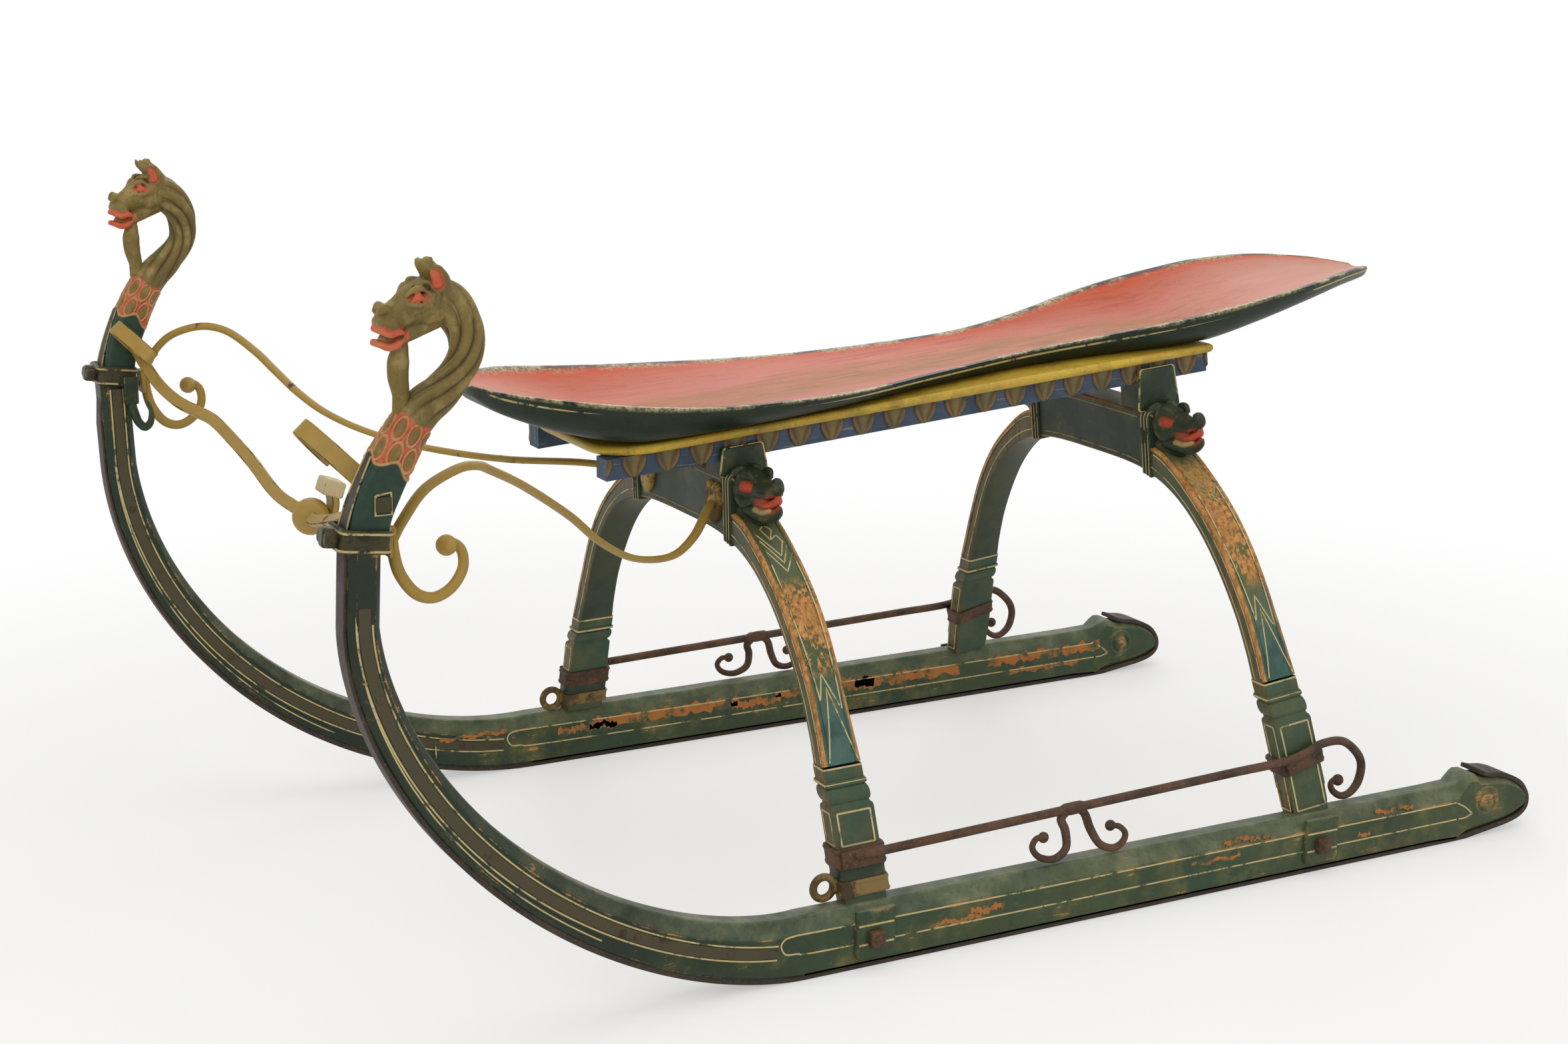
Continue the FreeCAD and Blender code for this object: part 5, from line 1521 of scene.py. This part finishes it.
# %% Beast heads
SKULL = (([(-14, -22, 0), (8, -20, 0), (30, -24, 0), (46, -30, 0)], [25, 25, 19, 12], 0.98),
         ([(30, -16, 0), (50, -14, 0), (66, -12, 0), (76, -6, 0), (74, 3, 0), (66, 2, 0)],
          [15, 11, 8.5, 7, 5.5, 3.5], 1.2),
         ([(18, -44, 0), (40, -50, 0), (60, -48, 0), (73, -40, 0), (78, -33, 0)],
          [16, 11, 8, 6, 3.5], 1.25),
         ([(-4, -58, 0), (16, -62, 0), (30, -60, 0)], [20, 15, 9], 1.1))
LOWER_LIP = [(36, -42, 12), (52, -43, 10), (66, -37, 7)]
CHEEKS = (([(34, 0, 13), (24, 4, 15), (12, 2, 18), (6, -6, 20)], [2.5, 5.5, 6, 3]),
          ([(8, -30, 19), (20, -34, 19), (34, -30, 15)], [7, 8, 5]),
          ([(36, -20, 12), (50, -19, 11), (64, -17, 9)], [4, 4.5, 4]),
          ([(-6, 6, 10), (-10, 0, 18), (-8, -12, 24)], [5, 6, 4]), (LOWER_LIP, [3, 3.5, 2.5]))
TONGUE = [(34, -34, 0), (52, -34, 0), (64, -30, 0), (73, -24, 0), (76, -18, 0)], [8, 7, 6, 5, 3], 1.4
EYE_PIT, THROAT = [(20, -12, 22), (28, -12, 17)], [(40, -33, 0), (56, -32, 0), (66, -28, 0)]


def beast_paint():
    """Blackish green with olive clouds; red eyes, throat and tongue, a pale lower lip, and painted
    shade in the hollows.
    """
    cloud = noise(40.0, detail=6.0, rough=0.65)
    tint = mixed(noise(14.0, detail=5.0)(0.40, 0.62), (46, 54, 34), (36, 44, 30))
    tint = mixed(cloud(0.55, 0.70), tint, (92, 84, 46))
    tint = mixed(field("red"), tint, mixed(cloud(0.36, 0.60), (196, 78, 50), (168, 70, 48)))
    tint = mixed(field("pale") * 0.7, tint, (176, 160, 104))
    # Painted shade: the hollows of the carving go nearly black.
    tint = mixed(hollows(0.43, 0.495) * 0.7, tint, (24, 24, 16))
    return tint, cloud.between(0.34, 0.60), cloud + noise(240.0) * 0.3


def beast_head(name):
    """Shells of a stand's left beast head and its tongue; it looks along +X."""
    def spot(points):
        """Rows (out, up, aside) in millimetres from the top of the beam's end."""
        out, up, aside = np.transpose(points) / 1000
        return xyz(BEAM_HALF + out, aside, beam_top(name) + 0.004 + 0.9 * up)

    def form(points, radius, flat=1.0):
        """Swelling along a smooth line; flat widens or narrows it across the head."""
        return tube(smooth(spot(points), 7), np.asarray(radius) / 1000, Y, 18, flat, 6)

    clay = [form(*row) for row in SKULL]
    clay += [form(cheek(points), radius) for cheek in (sided, list) for points, radius in CHEEKS]
    head, tongue = melted(clay, 0.0016, 4), form(*TONGUE)
    v = head["verts"]
    eyes, lip = [np.maximum(*[near(v, spot(cheek(points)), reach) for cheek in (sided, list)])
                 for points, reach in ((EYE_PIT, 0.0062), (LOWER_LIP, 0.0032))]
    red = np.maximum(eyes, 0.55 * near(v, spot(THROAT), 0.0125))
    v -= (0.003 * eyes)[:, None] * np.sign(v[:, 1:2]) * Y
    head.update(red=red, pale=lip)
    tongue.update(red=np.ones(len(tongue["verts"])))
    return [dict(s, verts=s["verts"] + at(STANDS[name][0]) * Y) for s in (head, tongue)]


# %% [markdown]
# Green saddle blocks stand between beams and rails. Each is a short post that leans with its
# stand, and a thin cheek on its outer side laps over beam and rail. They are made beside the
# beast heads, stand by stand.

# %% Saddles and beast heads in place
SLOPE = (BASE_REAR_Z - BASE_FRONT_Z) / (BASE_REAR - BASE_FRONT) * 1000
SADDLE_X = 0.109
CHEEK_STEPS = ((0.1200, 1.0), (0.1325, 1.0), (0.1340, 0.985), (0.1346, 0.93))
for name, (station, _, lean) in STANDS.items():
    pair("beast_head_" + name, leaned(beast_head(name), name),
         finish("beast_paint_" + name, beast_paint, 0.0007), "beast_green")
    blocks, cheek_lines = [], []
    top, rail_low = beam_top(name), float(base_under(station)) - RAIL_HIGH
    ring, rub = rectangle(0.025, 0.030, 0.004)
    low, high = xyz(*ring.T, top - 0.001), xyz(*ring.T, rail_low + SLOPE * ring[:, 1])
    levels = np.array([low + (high - low) * k for k in (0, 0.06, 0.5, 0.94, 1)])
    levels[..., :2] *= np.reshape([1, 1, 0.97, 1, 0.985], (-1, 1, 1))
    levels[..., 1] -= (levels[..., 2] - RUNNER_DEEP) * np.tan(np.radians(lean))
    cheek_high = rail_low + 0.6 * RAIL_HIGH
    shape = np.array([(-0.034, top - 0.002), (0.034, top - 0.002), (0.027, cheek_high),
                      (-0.029, cheek_high)])
    shape[2:, 1] += SLOPE * shape[2:, 0]
    y, z = outline(shape, 0.004, 5)[0].T
    back = (z - RUNNER_DEEP) * np.tan(np.radians(lean))
    for sign in SIDES:
        blocks.append(skin(levels + (sign * SADDLE_X, at(station), 0), rub))
        cheek = np.array([xyz(sign * out, at(station) + y * k - back, z) for out, k in CHEEK_STEPS])
        blocks.append(skin(cheek, 0.3))
        rim = np.vstack([cheek[-2], cheek[-2][:1]]) - sign * 0.0006 * X
        cheek_lines.append(painted(rim, sign * X, 0.0020, 0.0012, 0.0004))
    piece("rail_saddles_" + name, blocks, beam_green)
    piece("saddle_lines_" + name, cheek_lines, cream_on_dark, "green_wood", ADDED)
print("saddles and beast heads ready")

# %% [markdown]
# Rusty foot rods run from post to post outside the runners, with a scroll at the rear and
# a double hook at the middle. They are bent round bars: each is a circle carried along a
# smooth path, thinning towards a curled end, and the bands are plates bent round the feet.

# %% Foot rods, bands and eyes
ROD_FRONT_Z, ROD_REAR_Z, ROD_ROUND, FOOT_HALF, PLATE_THICK = 0.135, 0.152, 0.0057, 0.015, 0.006
STRAIGHT = (676, 790, 900, 1010, 1120, 1230, 1318)
PLATES = {"front": (0.130, 0.023, 0.0), "rear": (0.144, 0.020, 8.0)}
ROD_TAIL = ((0, 1359.5, 161.3), (0, 1372, 165.4), (0, 1396, 166.3), (0, 1415, 160.3),
            (0, 1435, 141.9), (0, 1442.3, 123.8), (0, 1437.8, 102.8), (0, 1425.6, 90.1),
            (0, 1410.9, 87.5), (0, 1397.2, 95.5), (0, 1391.8, 105.6), (0, 1396.1, 111.9),
            (0, 1403.6, 110.7))
HOOKS = (((0, 972, 139.5), (0, 964.5, 131), (3, 969.2, 116), (8, 967.4, 95), (11, 948.3, 85.5),
          (10, 927.2, 91), (8, 917.5, 104), (6, 924.3, 114), (5, 935.6, 113.8)),
         ((0, 992, 140), (0, 1000.5, 131), (3, 1006.9, 112), (8, 1018.3, 92), (11, 1036, 84.5),
          (10, 1051, 88.5), (8, 1057, 99), (6, 1049, 109), (5, 1035.8, 112.4)))
HOOK_BARS = (0.0052, 0.0056, 0.0056, 0.0052, 0.0048, 0.0044, 0.0040, 0.0038, 0.0038)


def rod_place(s):
    """The rod's centre line at a station: straight between the outsides of both feet."""
    s = np.asarray(s)
    share = (s - 685) / (1355 - 685)
    front, rear = foot_x(ROD_FRONT_Z, STANDS["front"][1]), foot_x(ROD_REAR_Z, STANDS["rear"][1])
    return xyz(front + (rear - front) * share + FOOT_HALF + PLATE_THICK + ROD_ROUND - 0.001, at(s),
               ROD_FRONT_Z + (ROD_REAR_Z - ROD_FRONT_Z) * share)


def beside_rod(points):
    """Places (out of the rod's plane, station, height) in millimetres, in metres."""
    out, s, z = np.transpose(points)
    return xyz(rod_place(s)[:, 0] + out / 1000, at(s), z / 1000)


def ball(centre, reach, radius, sides, limit):
    """Rolled end of a bar: a ball or drum across the sleigh, its radius times
    sqrt(1 - t^2) where t runs to the limit at both ends."""
    t = np.linspace(-1, 1, 9)
    return tube(centre + t[:, None] * reach * X, radius * np.sqrt(1 - (limit * t) ** 2), Y, sides)


def foot_band(name, z, high, thick, rims):
    """Band round the left foot at a height."""
    station, top, _ = STANDS[name]
    return band((foot_x(z, top), at(station), z), FOOT_HALF + 0.0002, 0.0298, high, thick, rims,
                -0.30)


iron = []
for name, (z, high, tilt) in PLATES.items():
    station, top, _ = STANDS[name]
    middle = np.array([foot_x(z, top), at(station), z])
    strip = [foot_band(name, z, high, 0.0045, 0.0012),
             block(middle + (FOOT_HALF + 0.006) * X, (0.005, 0.058, high), 0.0016)]
    for side in (-0.020, 0.020):
        strip.append(dome(middle + (FOOT_HALF + 0.0082) * X + side * Y, X, 0.0042, 0.0024))
    iron += leaned(tipped(strip, middle, tilt), name)
rod = smooth(np.vstack([rod_place(STRAIGHT), beside_rod(ROD_TAIL)]), 7)
slim = np.concatenate([np.full(14, ROD_ROUND), [0.0052, 0.0048, 0.0044, 0.0040, 0.0036, 0.0036]])
iron += [tube(rod, slim, X, 16), ball(rod[-1], 0.0068, 0.0078, 16, 0.93)]
for hook in HOOKS:
    curl = smooth(beside_rod(hook), 7)
    iron += [tube(curl, HOOK_BARS, X, 12), ball(curl[-1], 0.93 * 0.0062, 0.0072, 14, 0.93)]
iron.append(tube(rod_place((966, 970, 982, 994, 998)), [0.0062, 0.0078, 0.0080, 0.0078, 0.0062],
                 X, 16))
pair("foot_rod", iron, rusty_iron, "iron")

EYE_Z, EYE_ROUND, EYE_BAR = 0.0955, 0.0135, 0.0048
station, top, _ = STANDS["front"]
middle = np.array([foot_x(EYE_Z, top), at(station) - 0.0490, EYE_Z + 0.002])
around = circle(14)[:, None]
rings = []
for turn in np.linspace(0, 2 * np.pi, 33):
    out = np.cos(turn) * Y + np.sin(turn) * Z
    rings.append(middle + EYE_ROUND * out + EYE_BAR * (np.cos(around) * out + np.sin(around) * X))
eye_parts = [foot_band("front", EYE_Z, 0.018, 0.0038, 0.0012),
             skin(rings, 0.4, ends=False),
             block(middle + 0.0162 * Y, (0.010, 0.012, 0.016), 0.003)]
pair("foot_eye", leaned(eye_parts, "front"), bronze_iron, "iron")
dark_band = foot_band("front", 0.1115, 0.0145, 0.0016, 0.0008)
pair("foot_band_front", leaned([dark_band], "front"), beam_green, "green_wood", ADDED)

# %% [markdown]
# A small plate hangs down each runner's outer face below a foot, with a square nut on it and
# two cream lines. It is one outline with round lower corners that draws in towards its face.

# %% Plates on the runners
PLATE_HALF, PLATE_LOW, PLATE_TOP = 0.0265, 0.015, 0.076
PLATE_STEPS = ((0.0, 0.0), (0.0042, 0.0), (0.0052, 0.0008), (0.0056, 0.0022))
y, z = outline([(-PLATE_HALF, PLATE_TOP), (-PLATE_HALF, PLATE_LOW), (PLATE_HALF, PLATE_LOW),
                (PLATE_HALF, PLATE_TOP)], [0.002, 0.008, 0.008, 0.002], 6)[0].T
for name, (station, _, _) in STANDS.items():
    rings = [xyz(RUNNER_X + 0.025 + out, at(station) + y * (1 - draw / PLATE_HALF),
                 z + draw * (0.045 - z) / 0.03) for out, draw in PLATE_STEPS]
    pair("foot_tab_" + name, [skin(rings, 0.5)], runner_green, "iron")
    nut = np.array([RUNNER_X + 0.0356, at(station) - 0.002, 0.040])
    pair("foot_nut_" + name, [block(nut, (0.011, 0.020, 0.020), 0.0022),
                              dome(nut + 0.0055 * X, X, 0.0058, 0.003)], rusty_iron, "iron", ADDED)
    across = at(station) + np.linspace(-0.024, 0.024, 12)
    lines = [painted(xyz(RUNNER_X + 0.0307, across, height), X, 0.0024) for height in (0.057, 0.033)]
    pair("tab_lines_" + name, lines, cream_on_green, "green_wood", ADDED)
print("foot irons ready")

# %% [markdown]
# Ochre stays run in an S from behind each neck to the front beam and end in a flat spade;
# below each sits a C scroll with a ball. The two stays were bent by hand and differ, so each
# has its own row of points; the scroll is one shape of shares, used twice.

# %% Stays and neck scrolls
STAY_X, STAY_Y, BEAM_FACE_Y = NECK_X - 0.012, at(79), at(685) - 0.025 - 0.0095
SPADE_X, SPADE_Z, SCROLL = 0.100, 0.497, 0.070
STAYS = {"right": ((505, 83, 600), (504, 90, 622), (500, 105, 648), (490, 126, 667), (468, 158, 678),
                   (440, 186, 673), (405, 212, 650), (370, 228, 628), (325, 246, 603),
                   (280, 270, 581), (235, 312, 560), (190, 373, 542), (145, 462, 527),
                   (112, 560, 519), (101, 625, 506)),
         "left": ((505, 85, 600), (501, 100, 622), (490, 129, 650), (475, 170, 664), (455, 200, 661),
                  (432, 224, 649), (381, 282, 615), (316, 361, 560), (279, 416, 514),
                  (234, 479, 477), (188, 548, 461), (153, 595, 472), (118, 632, 496))}
SPADE = np.array([(-17, 26), (-8, 32), (0, 22), (8, 32), (17, 26), (21, 8), (14, -14), (0, -26),
                  (-14, -14), (-21, 8)]) / 1000
SPADE_STEPS = ((0.0, 1.0), (0.0045, 1.0), (0.0062, 0.95), (0.0068, 0.86))
SCROLL_SHARES = ((0.02, 0.05), (0.05, -0.30), (0.14, -0.62), (0.36, -0.92), (0.64, -1.02),
                 (0.92, -0.90), (1.10, -0.64), (1.10, -0.38), (0.98, -0.24), (0.86, -0.25))
x, z = outline(SPADE, 0.0045, 5)[0].T
spade = skin([xyz(SPADE_X + x * k, BEAM_FACE_Y + 0.0012 - d, SPADE_Z + z * k)
              for d, k in SPADE_STEPS], 0.4)
a, b = np.transpose(SCROLL_SHARES)
scroll = smooth(xyz(STAY_X, STAY_Y + 0.006 + SCROLL * a, NECK_Z + 0.006 + SCROLL * b), 8)
foot = block((STAY_X, STAY_Y + 0.003, NECK_Z), (0.026, 0.006, 0.030), 0.0015)
stay = [foot, spade, tube(scroll, [0.0066, 0.0066, 0.0062, 0.0060, 0.0056, 0.0056], X, 14, 0.85),
        ball(scroll[-1], 0.0084, 0.0112, 18, 0.75)]
for hand, places in STAYS.items():
    x, s, z = np.transpose(places)
    route = np.vstack([xyz(x / 1000, at(s), z / 1000), (SPADE_X, BEAM_FACE_Y - 0.003, 0.499)])
    rod = tube(smooth(route, 8), [0.0066, 0.0064, 0.0062, 0.0060, 0.0060, 0.0064], Z, 14,
               [0.8, 0.8, 0.7, 0.8])
    put("neck_stay", hand, [rod] + stay, ochre_iron, "yellow_iron")

# %% [markdown]
# Between the necks hangs the tie: round bolts turn into a flat bar that drops to a knob in the
# middle, where the pole's socket stands. Half its path is given and the rest is mirrored; the
# two strap loops on the bolts differ, and yoke and socket are offsets from the knob.

# %% The tie between the necks
TIE_Y, TIE_Z = at(75), NECK_Z + 0.048
TIE_X = NECK_X + HEAD_LEAN * 46 - NECK_WIDE / 2
TIE = ((1.0, 78, 646), (0.95, 82, 630), (0.86, 89, 609), (0.75, 99, 595), (0.66, 111, 589),
       (0.58, 122, 583), (0.46, 130, 567), (0.34, 136, 550), (0.21, 138, 533), (0.14, 141, 525),
       (0.07, 147, 520), (0.0, 157, 514))
LOOPS = {1: ((-2, 2), (8, 28), (24, 56), (43, 80), (56, 88), (69, 82), (76, 64), (74, 46), (66, 36)),
         -1: ((-2, 2), (0, 18), (6, 34), (18, 42), (34, 36), (50, 22), (64, 8), (72, -4), (66, -10))}
LOOP_SIDE, LOOP_RISE = unit([0, 0.74, 0.67]), unit([0, -0.67, 0.74])
a, s, z = np.transpose(TIE)
half = xyz(TIE_X * a, at(s), z / 1000)
whole = smooth(np.vstack([half, half[-2::-1] * (-1, 1, 1)]), 8)
tie = [bar(whole, unit([0, 0.72, 0.69]), 0.0155, 0.0075, 0.0020, 0.5)]
bolt = xyz(TIE_X * np.linspace(1.02, 0.935, 6), TIE_Y, TIE_Z)
for sign, places in LOOPS.items():
    a, b = np.transpose(places) / 1000
    strap = smooth(xyz(TIE_X - a, TIE_Y, TIE_Z) + b[:, None] * LOOP_RISE, 8)
    tie += [tube(bolt * (sign, 1, 1), 0.0098, Y, 16),
            bar(strap * (sign, 1, 1), LOOP_SIDE, 0.020, 0.0045, 0.0016, 0.5)]
knob = np.linspace(-1, 1, 13)
radius = 0.023 * np.sqrt(np.clip(1 - (knob * 0.96) ** 2, 0.03, 1))
centre = half[-1]
tie.append(tube(centre + knob[:, None] * 0.020 * X, radius, Y, 22))
yoke = smooth(centre + np.array([(-6, 2, -18), (-3, 16, -13), (0, 25, 0), (0, 28, 14),
                                 (0, 27, 26)]) / 1000, 8)
tie.append(bar(yoke, X, [0.014, 0.020, 0.026, 0.030], 0.009, 0.002, 0.5))
piece("cross_tie", tie, ochre_iron, "yellow_iron")
socket = block(centre + (0, 0.026, 0.034), (0.032, 0.027, 0.020), 0.003,
               [[1, 0, 0], [0, 0.94, -0.34], [0, 0.34, 0.94]])
piece("pole_socket", [socket], socket_cream, "yellow_iron", ADDED)
print("stays and tie ready")

# %% [markdown]
# Last come the picture's colours, kept plain because Standard adds no film curve, and a count of
# the pieces and their triangles.

# %% Finish
bpy.context.scene.view_settings.view_transform = "Standard"
print("pieces:", len(made), "triangles:", sum(made))
